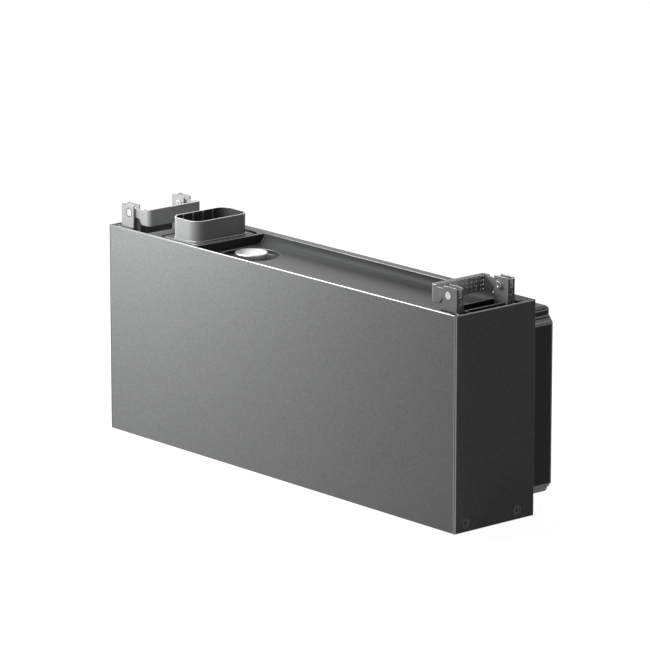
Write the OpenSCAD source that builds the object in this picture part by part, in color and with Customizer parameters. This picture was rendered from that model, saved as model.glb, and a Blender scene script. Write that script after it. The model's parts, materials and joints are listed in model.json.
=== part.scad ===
// Home battery module: a slim floor-standing case that stacks on others of its kind.
// Sheet-metal front, end and back panels stand round a row of prismatic cells.
// A cast top cover carries the stacking connector, a relief valve, a coved trough
// and two fold-down carrying handles. A stepped rear cover holds the electronics.
// Depths are measured from the front face; placed() centres the finished part on Y.

/* [Case] */
// Width over the two end panels
case_w = 680; // [660:5:760]
// Height of the panels
case_h = 278.4; // [270:1:330]
// Depth of the end panels
case_d = 134.3; // [134:0.5:150]
// Thickness of the panel sheet
sheet = 2; // [1.5:0.1:2.4]
// Chamfer along the outer edges of the panels
panel_chamfer = 0.9; // [0.4:0.1:1.2]
// Gap between neighbouring pieces of the case
seam = 0.6; // [0.3:0.1:1]
// How far the back panel lies inside the rear edges of the end panels
back_inset = 0.5; // [0.3:0.1:1.5]
// Depth of the returns folded inwards at the ends of the front panel
return_d = 9; // [6:0.5:12]

/* [Top cover] */
// Thickness of the cover's plates
cover_wall = 3; // [2.5:0.1:3.5]
// Thickness of the cover's thin walls and ribs
rib = 1.6; // [1.2:0.1:2]
// Depth of the pockets that hold the handles and their brackets
pocket_depth = 26; // [22:1:30]
// Left end of the trough, from the left end of the case
trough_left_inset = 176.5; // [176:0.5:190]
// Right end of the trough, from the right end of the case
trough_right_inset = 39.5; // [39.5:0.5:50]
// Depth of the trough, which is also the radius of its coved back
trough_depth = 14; // [11:0.5:16]
// Width of the flat rim behind the trough
rear_rim = 10.5; // [9:0.5:12]
// Inner edge of the left pocket, from the left end of the case
left_pocket_inset = 76; // [74:1:84]
// Outer face of the thin wall between a pocket and its end slot, from the end of the case
end_wall_inset = 14; // [13.5:0.1:15]

/* [Stacking connector] */
// Middle of the connector, from the left end of the case
connector_inset = 137; // [136:0.5:138]
// Middle of the connector, from the front face
connector_y = 61; // [58:0.5:64]
// Outer width of the shroud
shroud_w = 53.5; // [50:0.5:56]
// Outer depth of the shroud
shroud_d = 92; // [88:1:93]
// Height of the shroud over the case
shroud_h = 27.5; // [24:0.5:30]
// Wall of the shroud
shroud_wall = 2; // [1.5:0.1:2.5]
// Outer corner radius of the shroud
shroud_r = 15.5; // [13:0.5:16]
// Width of the recess that holds the flange and the gasket
seal_recess_w = 78; // [72:1:78]
// Depth of the recess from front to back
seal_recess_d = 110; // [109:0.5:112]
// How deep the recess is cut into the cover
seal_recess_t = 4; // [3:0.5:5]
// Width of the rubber gasket in its channel
gasket_w = 5; // [4:0.5:6]

/* [Relief valve] */
// Middle of the valve, from the left end of the case
valve_inset = 215.5; // [215:0.5:222]
// Middle of the valve, from the front face
valve_y = 65; // [60:0.5:68]
// Diameter of the recess in the trough floor
valve_recess_dia = 75; // [68:1:75]
// Depth of the recess
valve_recess_depth = 6; // [4:0.5:8]
// Diameter of the polished cap
valve_cap_dia = 43; // [36:1:46]
// Height of the cap
valve_cap_h = 7; // [5:0.5:8]
// Diameter of the threaded stem
valve_stem_dia = 24; // [18:1:26]

/* [Handles] */
// Middle of the hinge pins, from the ends of the case
pin_inset = 28.3; // [27.6:0.1:29]
// Height of the hinge pins over the case
pin_rise = 18.8; // [17.5:0.1:20]
// Diameter of the pin's shaft
pin_dia = 6; // [5:0.5:7]
// Diameter of the pin's polished head
pin_head_dia = 10.6; // [9.5:0.1:11]
// Radial clearance of the handle's bore on the pin
pin_clearance = 0.06; // [0.04:0.01:0.1]
// Thickness of the handle's plate
handle_t = 3; // [2.5:0.1:3.4]
// Inner edge of the folded handle, from the end of the case
handle_edge_inset = 65; // [60:0.5:70]
// Width of the handle from arm to arm
handle_w = 89; // [84:0.5:92]
// Height of the handle's grip plate
handle_grip_h = 22.5; // [19:0.5:23]
// Height of the grip plate's lower edge over the case
handle_rise = 4.6; // [4:0.1:6]
// Half the height of the handle's arms at the pins
arm_end_r = 6.2; // [5.8:0.1:6.6]
// Radius outside the folds of the handle
handle_fold_r = 5.4; // [4.5:0.1:7]
// Thickness of the grip pad
pad_t = 1.2; // [0.8:0.1:1.6]
// Diameter of the domes on the grip pad
dome_dia = 3.6; // [3:0.1:4]
// Spacing of the domes along the grip
dome_pitch = 8; // [7:0.5:10]
// Spacing of the rows of domes
dome_row_pitch = 5.6; // [4.8:0.1:6]

/* [Handle brackets] */
// Width of a bracket along the case
bracket_w = 24.8; // [23:0.1:25]
// Depth of a bracket over its two plates
bracket_d = 12; // [11:0.1:13]
// Thickness of a bracket's plates
bracket_t = 1.8; // [1.5:0.1:2]
// Height of a bracket over the case
bracket_rise = 30; // [28:0.5:33]

/* [Rear cover] */
// How far the rear cover stands behind the back panel
rear_depth = 48.5; // [48:0.5:60]
// How far the rear cover's sides lie inside the end panels
rear_inset = 16.5; // [16.5:0.5:24]
// Top edge of the rear cover's neck, below the top of the case
rear_top_gap = 18; // [16:1:24]
// Bottom edge of the rear cover's neck
rear_bottom = 19; // [17:1:24]
// How far the neck lies inside the belly
neck_step = 3.5; // [2.5:0.5:5]
// Wall of the rear cover
rear_wall = 2.8; // [2.4:0.1:3.2]
// Corner radius of the rear cover
rear_r = 5; // [4:0.5:7]

/* [Bottom] */
// Thickness of the bottom tray
tray_t = 2.5; // [2:0.1:3]
// Clear height of the pockets for the module below
tray_pocket_h = 34; // [33.5:0.5:38]
// Wall of the tray's pockets
tray_wall = 2; // [1.5:0.1:2.4]
// Height of the tray's end flanges
tray_flange_h = 24; // [20:1:28]
// Height of the end screws above the floor
screw_z = 12; // [10:0.5:14]
// Access hole for each end screw
screw_hole_dia = 12.6; // [11.5:0.1:13.5]
// Head diameter of the end screws
screw_head_dia = 10.6; // [9:0.1:11]

/* [Cell pack] */
// Number of cells in the row
cell_count = 16; // [14:1:16]
// Room left between the clamping plates and the ends of the case
pack_inset = 31.25; // [31:0.25:50]
// Depth of one cell
cell_d = 104; // [96:1:105]
// Room over the cells, up to the top of the case
cell_headroom = 45.9; // [44:0.1:60]
// Thickness of the sheet between two cells
spacer_t = 0.9; // [0.6:0.1:1]
// Thickness of the plates that clamp the row
clamp_t = 10; // [8:0.5:12]

/* [Hidden] */
$fn = 48;
tiny = 0.01;
past = 1;

panel_colour = [0.38, 0.385, 0.39];
cast_colour = [0.36, 0.365, 0.37];
black_plastic = [0.10, 0.10, 0.105];
rubber_colour = [0.05, 0.05, 0.055];
steel_colour = [0.72, 0.73, 0.74];
copper_colour = [0.72, 0.45, 0.28];

half_w = case_w / 2;
trough_left = half_w - trough_left_inset;
trough_right = half_w - trough_right_inset;
left_pocket_edge = half_w - left_pocket_inset;
end_wall_x = half_w - end_wall_inset;
connector_x = half_w - connector_inset;
valve_x = half_w - valve_inset;
pin_x = half_w - pin_inset;
handle_edge_x = half_w - handle_edge_inset;
inner_x = half_w - sheet - seam;
back_y = case_d - back_inset;
overall_d = back_y + rear_depth;
cover_front_y = sheet + seam;
cover_back_y = back_y - sheet - seam / 2;
pocket_floor_z = case_h - pocket_depth;
trough_z = case_h - trough_depth;
trough_back_y = cover_back_y - rear_rim;
cove_y = trough_back_y - trough_depth;

bracket_outer_x = half_w - 12.7;
bracket_inner_x = bracket_outer_x - bracket_w;
handle_mid_y = connector_y;
arm_offset = (handle_w - handle_t) / 2;
arm_sides = [-1, 1];
pin_z = case_h + pin_rise;
handle_z = case_h + handle_rise;
bracket_gap = (bracket_d - 2 * bracket_t - handle_t) / 2;
bracket_clear = 1.8;
ear_y0 = handle_mid_y - arm_offset - bracket_d / 2;
ear_y1 = handle_mid_y + arm_offset - bracket_d / 2;

island_gap = gasket_w + 0.6;
island_shift = 2;
seal_top = case_h - 0.6;
recess_r = 12;

guide_pitch = 16.6;
guide_count = 4;
blade_ys = [-24, -8];
blade_t = 3;
blade_bottom_z = trough_z - 12;
signal_y0 = 10;
signal_pitch = 6;
signal_count = 4;
contact_clear = 0.4;
contact_top = case_h + 16;

valve_floor_z = trough_z - valve_recess_depth;
valve_flange_t = 2;
valve_seal_t = 1;

bracket_screw_x = bracket_outer_x - bracket_w / 2;
bracket_screw_dia = 5;

screw_front_y = 17.8;
screw_back_y = 105;
end_screw_r = 3;
screw_shelf = 1;

nut_inset = 10.5;
nut_x = half_w - nut_inset;
nut_low = 41;
nut_high = 58.4;
nut_zs = [rear_bottom + nut_low, case_h - nut_high];
nut_dia = 9;
nut_bore_r = 2.5;

seal_t = 1;
slice_t = 0.2;
rear_half = half_w - rear_inset;
rear_top = case_h - rear_top_gap;
belly_top = rear_top - 20.5;
belly_bottom = rear_bottom + 10;
rear_screw_x = rear_half - 22;
cover_screw_xs = [-rear_screw_x, rear_screw_x];
cover_screw_low = 37;
cover_screw_high = 46.4;
cover_screw_zs = [rear_bottom + cover_screw_low, rear_top - cover_screw_high];
cover_screw_hole = 5;

well_clear = 3;
socket_clear = 2.2;
socket_bottom_z = 8;
socket_w = shroud_w - 2 * shroud_wall - 2 * socket_clear;
socket_d = shroud_d - 2 * shroud_wall - 2 * socket_clear;
socket_well_x = [-connector_x - shroud_w / 2 - 5, -connector_x + shroud_w / 2 + 5];
socket_well_y = [connector_y - shroud_d / 2 - 5, connector_y + shroud_d / 2 + 4];
end_well_x = [handle_edge_x - 7, bracket_outer_x + well_clear];
end_well_y = [ear_y0 - well_clear, ear_y1 + bracket_d + well_clear];
strap_w = 12;
strap_z = [tray_pocket_h - 3, tray_pocket_h - 1];
strap_xs = [-connector_x - 12, -connector_x + 12];

tray_top = tray_pocket_h + tray_wall;
pack_y0 = 7;
pack_y1 = pack_y0 + cell_d;
pack_base_t = 2.5;
cell_z = tray_top + pack_base_t;
cell_top = case_h - cell_headroom;
row_w = case_w - 2 * (pack_inset + clamp_t);
cell_t = (row_w - (cell_count - 1) * spacer_t) / cell_count;
band_t = 1;
terminal_inset = 22;
post_h = 4;
carrier_t = 2;
busbar_t = 2;
busbar_w = 18;
post_r = 6;
post_ys = [pack_y0 + terminal_inset, pack_y1 - terminal_inset];

board_y = back_y + 10;
board_t = 2;
board_inset = 90;
board_low = 25;
board_high = 28.4;
board_half = half_w - board_inset;
board_x = [-board_half, board_half];
board_z = [rear_bottom + board_low, rear_top - board_high];
board_mid_z = (board_z[0] + board_z[1]) / 2;
standoff_r = 4;
standoff_inset = 10;
standoff_edge = 8;
sink_inset = 190;
sink_low = 26;
sink_high = 32;
sink_base_t = 5;
sink_h = 30;
fin_count = 12;
fin_pitch = 9;
fin_t = 1.8;
sink_x = board_half - sink_inset;
sink_z = [board_z[0] + sink_low, board_z[1] - sink_high];
relay_offset = 180;
relay_rise = 12;
relay_w = 42;
relay_d = 55;
relay_h = 30;
relay_gap = 10;
relay_x = sink_x - relay_offset;
relay_z = [board_mid_z + relay_rise, board_mid_z + relay_rise + relay_d];
fuse_r = 9;
fuse_drop = 28;
fuse_length = 80;
fuse_cap_w = 14;
capacitor_offset = 60;
capacitor_r = 10;
capacitor_h = 29;
capacitor_pitch = 26;
capacitor_rows = 4;
capacitor_high = 30;
capacitor_row_pitch = (sink_z[1] - sink_z[0] - capacitor_r - capacitor_high) / (capacitor_rows - 1);
lead_drop = 28;
lead_pitch = 22;
window_edge = 10;
connector_lead_z = board_z[1] - lead_drop;
pack_lead_z = connector_lead_z - lead_pitch;
socket_lead_z = pack_lead_z - lead_pitch;
window_x = [-connector_x - 36, -connector_x + 30];
window_z = [socket_lead_z - window_edge, connector_lead_z + window_edge];

// Leads run behind the cells and end in terminals seen through the window
lead_r = 3;
lead_bend = 7;
lead_y = (pack_y1 + band_t + back_y - sheet) / 2;
terminal_size = 12;
terminal_d = 8;
connector_lead_xs = [-connector_x - 7, -connector_x + 7];
pack_lead_xs = [-connector_x - 24, -connector_x + 22];

module placed() {
    translate([0, -overall_d / 2, 0]) children();
}

module on_side(side) {
    mirror([side < 0 ? 1 : 0, 0, 0]) children();
}

module block(x, y, z) {
    translate([x[0], y[0], z[0]]) cube([x[1] - x[0], y[1] - y[0], z[1] - z[0]]);
}

module rounded_rect(w, d, r) {
    square([w - 2 * r, d], center = true);
    square([w, d - 2 * r], center = true);
    for (sx = [-1, 1], sy = [-1, 1]) translate([sx * (w / 2 - r), sy * (d / 2 - r)]) circle(r = r);
}

module rounded_block(w, d, r, z0, z1) {
    translate([0, 0, z0]) linear_extrude(z1 - z0) rounded_rect(w, d, r);
}

// Cylinder along +Y from its base at the origin
module rod_y(r, length) {
    rotate([-90, 0, 0]) cylinder(r = r, h = length);
}

// Cylinder along +X from its base at the origin
module rod_x(r, length) {
    rotate([0, 90, 0]) cylinder(r = r, h = length);
}

// Profile drawn in X and Z, extruded along +Y
module along_y(length) {
    rotate([90, 0, 0]) translate([0, 0, -length]) linear_extrude(length) children();
}

// Profile drawn in Y and Z, extruded along +X
module along_x(length) {
    rotate([90, 0, 90]) linear_extrude(length) children();
}

// Flat panel with its outer face on Y = 0 and a chamfer round that face
module edged_plate(w, h, t, c) {
    intersection() {
        linear_extrude(h) polygon([
            [c, 0], [w - c, 0], [w, c], [w, t], [0, t], [0, c]
        ]);
        along_x(w) polygon([
            [0, c], [c, 0], [t, 0], [t, h], [c, h], [0, h - c]
        ]);
    }
}

// Tube swept along a route of points, with a regular outline of eight sides
function unit(v) = v / norm(v);
function heading(p, i) = unit(
    i == 0 ? p[1] - p[0] : i == len(p) - 1 ? p[i] - p[i - 1] : unit(p[i + 1] - p[i]) + unit(p[i] - p[i - 1])
);
function across(t) = let (slant = [0.5, 0.3, 0.8]) unit(slant - t * (slant * t));

module lead(p, r) {
    sides = 8;
    last = (len(p) - 1) * sides;
    rings = [
        for (i = [0 : len(p) - 1])
            let (t = heading(p, i), a = across(t), b = cross(t, a))
                for (k = [0 : sides - 1]) p[i] + r * (a * cos(360 * k / sides) + b * sin(360 * k / sides))
    ];
    walls = [
        for (i = [0 : len(p) - 2], k = [0 : sides - 1])
            let (n = i * sides, j = (k + 1) % sides)
                each [[n + k, n + sides + k, n + sides + j], [n + k, n + sides + j, n + j]]
    ];
    ends = [[for (k = [0 : sides - 1]) k], [for (k = [sides - 1 : -1 : 0]) last + k]];
    polyhedron(rings, concat(ends, walls), convexity = 4);
}

// Route of a lead: straight runs joined by round bends in five steps
function bend(a, b, c, r) =
    let (u = unit(a - b), v = unit(c - b))
        [for (s = [0 : 0.25 : 1]) b + r * (u * (1 - s) * (1 - s) + v * s * s)];
function route(p, r) = concat(
    [p[0]],
    [for (i = [1 : len(p) - 2]) each bend(p[i - 1], p[i], p[i + 1], r)],
    [p[len(p) - 1]]
);

module front_panel() {
    w = 2 * inner_x;
    color(panel_colour) placed() {
        translate([-inner_x, 0, 0]) edged_plate(w, case_h, sheet, panel_chamfer);
        for (side = [-1, 1]) on_side(side)
            block([inner_x - sheet, inner_x], [sheet, sheet + return_d],
                  [tray_flange_h + 4, pocket_floor_z - 12]);
    }
}

// Built for the right-hand end; the left one is its mirror image
module end_panel() {
    difference() {
        translate([half_w, seam, 0]) rotate([0, 0, 90])
            edged_plate(case_d - seam, case_h, sheet, panel_chamfer);
        for (y = [screw_front_y, screw_back_y]) {
            translate([half_w - sheet + screw_shelf, y, screw_z]) rod_x(screw_hole_dia / 2, sheet);
            translate([half_w - sheet - past, y, screw_z]) rod_x(end_screw_r + 0.2, sheet + past);
        }
    }
}

module left_end_panel() {
    color(panel_colour) placed() on_side(-1) end_panel();
}

module right_end_panel() {
    color(panel_colour) placed() end_panel();
}

module back_panel() {
    color(panel_colour) placed() difference() {
        union() {
            block([-inner_x, inner_x], [back_y - sheet, back_y], [0, case_h]);
            for (side = [-1, 1]) on_side(side)
                block([inner_x - sheet, inner_x], [back_y - sheet - return_d, back_y - sheet],
                      [tray_flange_h + 4, pocket_floor_z - 12]);
        }
        block(window_x, [back_y - sheet - past, back_y + past], window_z);
        for (x = [-nut_x, nut_x], z = nut_zs)
            translate([x, back_y - sheet - past, z]) rod_y(nut_dia / 2, sheet + 2 * past);
        for (x = cover_screw_xs, z = cover_screw_zs)
            translate([x, back_y - sheet - past, z]) rod_y(cover_screw_hole / 2, sheet + 2 * past);
    }
}

// Threaded inserts that take the screws of a wall bracket
module bracket_nuts() {
    flange_t = 1;
    flange_over = 1;
    color(steel_colour) placed()
        for (x = [-nut_x, nut_x], z = nut_zs) translate([x, back_y, z]) difference() {
            union() {
                rod_y(nut_dia / 2 + flange_over, flange_t);
                translate([0, -10, 0]) rod_y(nut_dia / 2, 10);
            }
            translate([0, -10 - past, 0]) rod_y(nut_bore_r, 10 + flange_t + 2 * past);
        }
}

// Hollows of the top cover at one end, all as deep as the pocket
module end_hollows(pocket_edge) {
    z = [pocket_floor_z, case_h + past];
    socket_y = [ear_y0 - bracket_clear, ear_y0 + bracket_d + bracket_clear];
    open_x = inner_x + past;
    // Sockets of the two brackets, open towards the end panel
    block([pocket_edge, open_x], socket_y, z);
    block([pocket_edge, open_x], [ear_y1 - bracket_clear, ear_y1 + bracket_d + bracket_clear], z);
    // Pocket between them, and the slot behind its thin outer wall
    block([pocket_edge, end_wall_x - rib], [ear_y0 + bracket_d, ear_y1], z);
    block([end_wall_x, open_x], [socket_y[1] + rib, ear_y1], z);
    // Hole in the front corner, with a slanted edge beside the bracket
    translate([0, 0, pocket_floor_z]) linear_extrude(pocket_depth + past) polygon([
        [end_wall_x - rib, cover_front_y - past], [open_x, cover_front_y - past],
        [open_x, socket_y[0] + tiny], [bracket_outer_x + bracket_clear, socket_y[0] + tiny]
    ]);
    // Hole in the back corner
    block([end_wall_x, inner_x - 3.4], [ear_y1 + bracket_d + bracket_clear + 4, trough_back_y], z);
}

// Slanted ribs from the brackets' sockets out to the end panel
module end_ribs() {
    x0 = bracket_outer_x + 0.9;
    for (y = [ear_y0 - 0.9, ear_y1 + 6])
        translate([0, 0, pocket_floor_z - tiny]) linear_extrude(pocket_depth + tiny) polygon([
            [x0, y - rib], [inner_x, y - rib - 3], [inner_x, y - 3], [x0, y]
        ]);
}

module top_cover() {
    color(cast_colour) placed() difference() {
        union() {
            // Deck of the connector
            block([-inner_x, -trough_left], [cover_front_y, cover_back_y], [trough_z - cover_wall, case_h]);
            // Trough with its coved back
            trough_body();
            // Deep ends that hold the handle brackets
            block([-inner_x, -left_pocket_edge + cover_wall], [cover_front_y, cover_back_y],
                  [pocket_floor_z - cover_wall, case_h]);
            block([trough_right, inner_x], [cover_front_y, cover_back_y],
                  [pocket_floor_z - cover_wall, case_h]);
            // Boss under the valve recess
            translate([-valve_x, valve_y, valve_floor_z - cover_wall])
                cylinder(r = valve_recess_dia / 2 + cover_wall, h = valve_recess_depth + cover_wall - tiny);
        }
        on_side(-1) end_hollows(left_pocket_edge);
        on_side(-1) block([left_pocket_edge, bracket_inner_x - 3], [cover_front_y + rib, cove_y + 10],
                          [pocket_floor_z, case_h + past]);
        end_hollows(trough_right + rib);
        // The valve's recess and the hole for its stem
        translate([-valve_x, valve_y, valve_floor_z])
            cylinder(r = valve_recess_dia / 2, h = trough_depth + valve_recess_depth + past);
        translate([-valve_x, valve_y, valve_floor_z - cover_wall - past])
            cylinder(r = valve_stem_dia / 2 + 0.25, h = cover_wall + 2 * past);
        // The connector's recess, its way down and the hollow underside of the deck
        translate([-connector_x - island_shift, connector_y, 0])
            rounded_block(seal_recess_w, seal_recess_d, recess_r, case_h - seal_recess_t, case_h + past);
        translate([-connector_x, connector_y, 0])
            rounded_block(shroud_w - 6, shroud_d - 6, 6, trough_z - cover_wall - past, case_h);
        deck_hollow();
        // Screw holes of the brackets
        for (side = [-1, 1], y = [ear_y0, ear_y1]) on_side(side)
            translate([bracket_screw_x, y + bracket_d / 2, pocket_floor_z - cover_wall - past])
                cylinder(r = bracket_screw_dia / 2, h = cover_wall + 2 * past);
    }
    color(cast_colour) placed() for (side = [-1, 1]) on_side(side) end_ribs();
}

// Floor and coved back of the trough, closed by a thin wall at its right end
module trough_body() {
    length = trough_left + trough_right;
    translate([-trough_left, 0, 0]) along_x(length) difference() {
        translate([cover_front_y, trough_z - cover_wall])
            square([cover_back_y - cover_front_y, trough_depth + cover_wall]);
        translate([cover_front_y - past, trough_z])
            square([cove_y - cover_front_y + past, trough_depth + past]);
        translate([cove_y - tiny, case_h]) circle(r = trough_depth, $fn = 64);
        translate([cove_y, case_h]) square([trough_depth, past]);
        // Channel under the rim, open below
        translate([trough_back_y + cover_wall, trough_z - cover_wall - past])
            square([rear_rim - 2 * cover_wall, trough_depth + past]);
    }
}

// Space under the deck, which leaves the cover's wall all round
module deck_hollow() {
    x0 = -left_pocket_edge + cover_wall + tiny;
    x1 = -connector_x - shroud_w / 2 - 3;
    x2 = -connector_x + shroud_w / 2 + 3;
    top = case_h - seal_recess_t - cover_wall;
    y = [cover_front_y + cover_wall, cover_back_y - cover_wall];
    block([x0, x1], y, [trough_z - cover_wall - past, top]);
    block([x2, -trough_left - cover_wall], y, [trough_z - cover_wall - past, top]);
}

// Bottom tray with pockets that take the connector and the brackets of the module below
module well_shell(x, y) {
    block([x[0] - tray_wall, x[1] + tray_wall], [y[0] - tray_wall, y[1] + tray_wall], [0, tray_top]);
}

module well_space(x, y) {
    block(x, y, [-past, tray_pocket_h]);
}

module bottom_tray() {
    color(black_plastic) placed() difference() {
        union() {
            block([-inner_x, inner_x], [cover_front_y, back_y - sheet - seam], [0, tray_t]);
            for (side = [-1, 1]) on_side(side) {
                block([inner_x - sheet, inner_x], [cover_front_y, back_y - sheet - seam], [0, tray_flange_h]);
                well_shell(end_well_x, end_well_y);
            }
            well_shell(socket_well_x, socket_well_y);
        }
        for (side = [-1, 1]) on_side(side) {
            well_space(end_well_x, end_well_y);
            for (y = [screw_front_y, screw_back_y])
                translate([inner_x - sheet - past, y, screw_z]) rod_x(end_screw_r + 0.2, sheet + 2 * past);
        }
        well_space(socket_well_x, socket_well_y);
        for (x = strap_xs)
            block([x - strap_w / 2 - 0.2, x + strap_w / 2 + 0.2],
                  [socket_well_y[1] - past, socket_well_y[1] + tray_wall + past],
                  [strap_z[0] - 0.2, strap_z[1] + 0.2]);
    }
}

// Flat-headed screws, each seated on the shelf of its recess in the end panel
module end_screws() {
    head_h = sheet - screw_shelf - 0.1;
    shaft = screw_shelf + seam + sheet + 2;
    color(steel_colour) placed()
        for (side = [-1, 1], y = [screw_front_y, screw_back_y]) on_side(side)
            translate([half_w - sheet + screw_shelf, y, screw_z]) difference() {
                union() {
                    rod_x(screw_head_dia / 2, head_h);
                    translate([-shaft, 0, 0]) rod_x(end_screw_r, shaft + tiny);
                }
                translate([head_h - 1.8, 0, 0]) rotate([0, 90, 0]) cylinder(r = 2.4, h = 3, $fn = 6);
            }
}

// Shroud of the stacking connector, with its flange, foot and guide ribs
module connector_shroud() {
    flange_w = seal_recess_w - 2 * island_gap;
    flange_d = seal_recess_d - 2 * island_gap;
    foot = 1.2;
    groove = [0.8, 1];
    foot_w = shroud_w + 2 * foot;
    foot_d = shroud_d + 2 * foot;
    color(cast_colour) placed() difference() {
        union() {
            difference() {
                translate([-connector_x - island_shift, connector_y, 0])
                    rounded_block(flange_w, flange_d, recess_r - island_gap, case_h - seal_recess_t, seal_top);
                // Groove round the foot
                translate([-connector_x, connector_y, 0])
                    rounded_block(foot_w + 2 * groove[0], foot_d + 2 * groove[0], shroud_r + foot + groove[0],
                                  seal_top - groove[1], seal_top + past);
            }
            translate([-connector_x, connector_y, 0]) {
                rounded_block(foot_w, foot_d, shroud_r + foot, seal_top - groove[1] - tiny, seal_top + 1.4);
                rounded_block(shroud_w, shroud_d, shroud_r, seal_top - tiny, case_h + shroud_h);
            }
        }
        translate([-connector_x, connector_y, 0])
            rounded_block(shroud_w - 2 * shroud_wall, shroud_d - 2 * shroud_wall, shroud_r - shroud_wall,
                          case_h - seal_recess_t - past, case_h + shroud_h + past);
    }
    guide_ribs();
}

module guide_ribs() {
    depth = 1;
    width = 1.4;
    color(cast_colour) placed() translate([-connector_x, connector_y, 0])
        for (side = [-1, 1], i = [0 : guide_count - 1])
            translate([0, (i - (guide_count - 1) / 2) * guide_pitch - width / 2, 0]) on_side(side)
                block([shroud_w / 2 - shroud_wall - depth, shroud_w / 2 - shroud_wall + tiny], [0, width],
                      [case_h - seal_recess_t, case_h + shroud_h - 1.5]);
}

module connector_gasket() {
    color(rubber_colour) placed() translate([-connector_x - island_shift, connector_y, 0]) difference() {
        rounded_block(seal_recess_w - 0.4, seal_recess_d - 0.4, recess_r - 0.2,
                      case_h - seal_recess_t, seal_top - 0.8);
        rounded_block(seal_recess_w - 0.4 - 2 * gasket_w, seal_recess_d - 0.4 - 2 * gasket_w,
                      recess_r - 0.2 - gasket_w, case_h - seal_recess_t - past, case_h + past);
    }
}

// Insulating block inside the shroud, with raised collars round the blades
module contact_block() {
    block_w = shroud_w - 2 * shroud_wall - 2 - 2 * contact_clear;
    block_d = shroud_d - 2 * shroud_wall - 2 * contact_clear;
    color(black_plastic) placed() translate([-connector_x, connector_y, 0]) difference() {
        union() {
            rounded_block(shroud_w - 8, shroud_d - 8, 5, trough_z - 8, case_h - seal_recess_t - tiny);
            rounded_block(block_w, block_d, shroud_r - shroud_wall - contact_clear,
                          case_h - seal_recess_t - tiny, case_h + 2);
            for (y = blade_ys) translate([0, y, 0])
                rounded_block(24, 9, 2, case_h + 2 - tiny, case_h + 8);
        }
        for (y = blade_ys) translate([0, y, 0])
            block([-9, 9], [-blade_t / 2 - 0.1, blade_t / 2 + 0.1], [trough_z - 8 - past, case_h + 8 + past]);
        for (i = [0 : signal_count - 1], x = [-6, 6])
            translate([x, signal_y0 + i * signal_pitch, trough_z - 8 - past])
                cylinder(r = 1.1, h = trough_depth + 8 + 2 + 2 * past);
    }
}

module power_contacts() {
    color(copper_colour) placed() translate([-connector_x, connector_y, 0])
        for (y = blade_ys) translate([0, y, 0])
            block([-8.9, 8.9], [-blade_t / 2, blade_t / 2], [blade_bottom_z, contact_top]);
}

module signal_contacts() {
    color(copper_colour) placed() translate([-connector_x, connector_y, 0])
        for (i = [0 : signal_count - 1], x = [-6, 6])
            translate([x, signal_y0 + i * signal_pitch, trough_z - 11])
                cylinder(r = 1, h = contact_top - 4 - trough_z + 11);
}

// Socket in the bottom tray that enters the shroud of the module below
module bottom_socket() {
    z0 = socket_bottom_z;
    tail_y = socket_well_y[1] - connector_y - seam;
    color(black_plastic) placed() translate([-connector_x, connector_y, 0]) difference() {
        union() {
            rounded_block(socket_w, socket_d, shroud_r - shroud_wall - 1, z0, tray_pocket_h);
            // Tail over the shroud's rim, which covers the straps
            block([strap_xs[0] + connector_x - 9, strap_xs[1] + connector_x + 9], [0, tail_y],
                  [strap_z[0] - 1, tray_pocket_h]);
        }
        for (y = blade_ys) translate([0, y, 0]) {
            block([-12.6, 12.6], [-4.6, 4.6], [z0 - past, z0 + 6]);
            block([-9.4, 9.4], [-blade_t / 2 - 1.6, blade_t / 2 + 1.6], [z0 - past, strap_z[0]]);
        }
        for (i = [0 : signal_count - 1], x = [-6, 6])
            translate([x, signal_y0 + i * signal_pitch, z0 - past]) cylinder(r = 1.5, h = 14);
        for (i = [0, 1]) translate([strap_xs[i] + connector_x, 0, 0])
            block([-strap_w / 2 - 0.1, strap_w / 2 + 0.1], [blade_ys[i] - 5, tail_y + past],
                  [strap_z[0], strap_z[1] + 0.1]);
    }
}

// Spring contacts of the socket, with the straps that lead back out of the well
module socket_contacts() {
    spring_t = 0.8;
    color(copper_colour) placed() translate([-connector_x, connector_y, 0]) for (i = [0, 1]) {
        for (s = [-1, 1]) translate([0, blade_ys[i] + s * (blade_t / 2 + 0.6), 0])
            block([-8.9, 8.9], [-spring_t / 2, spring_t / 2], [socket_bottom_z + 7, strap_z[0] + tiny]);
        block([strap_xs[i] + connector_x - strap_w / 2, strap_xs[i] + connector_x + strap_w / 2],
              [blade_ys[i] - 4.5, lead_y - connector_y + 4], strap_z);
    }
}

// Relief valve: body clamped through the floor by its nut, seal, and polished cap
module valve_body() {
    cap_seat = valve_floor_z + valve_seal_t + valve_flange_t;
    color(steel_colour) placed() translate([-valve_x, valve_y, 0]) difference() {
        union() {
            translate([0, 0, valve_floor_z + valve_seal_t])
                cylinder(r = valve_cap_dia / 2 - 1.5, h = valve_flange_t);
            translate([0, 0, valve_floor_z - cover_wall - 7])
                cylinder(r = valve_stem_dia / 2, h = cover_wall + 7 + valve_seal_t + tiny);
            translate([0, 0, valve_floor_z - cover_wall - 6])
                cylinder(r = valve_stem_dia / 2 + 5, h = 6, $fn = 6);
        }
        translate([0, 0, valve_floor_z - cover_wall - 7 - past])
            cylinder(r = valve_stem_dia / 2 - 4, h = cap_seat - valve_floor_z + cover_wall + 7 + 2 * past);
    }
}

module valve_seal() {
    color(rubber_colour) placed() translate([-valve_x, valve_y, valve_floor_z]) difference() {
        cylinder(r = valve_cap_dia / 2 - 2.5, h = valve_seal_t);
        translate([0, 0, -past]) cylinder(r = valve_stem_dia / 2 + 0.2, h = valve_seal_t + 2 * past);
    }
}

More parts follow.
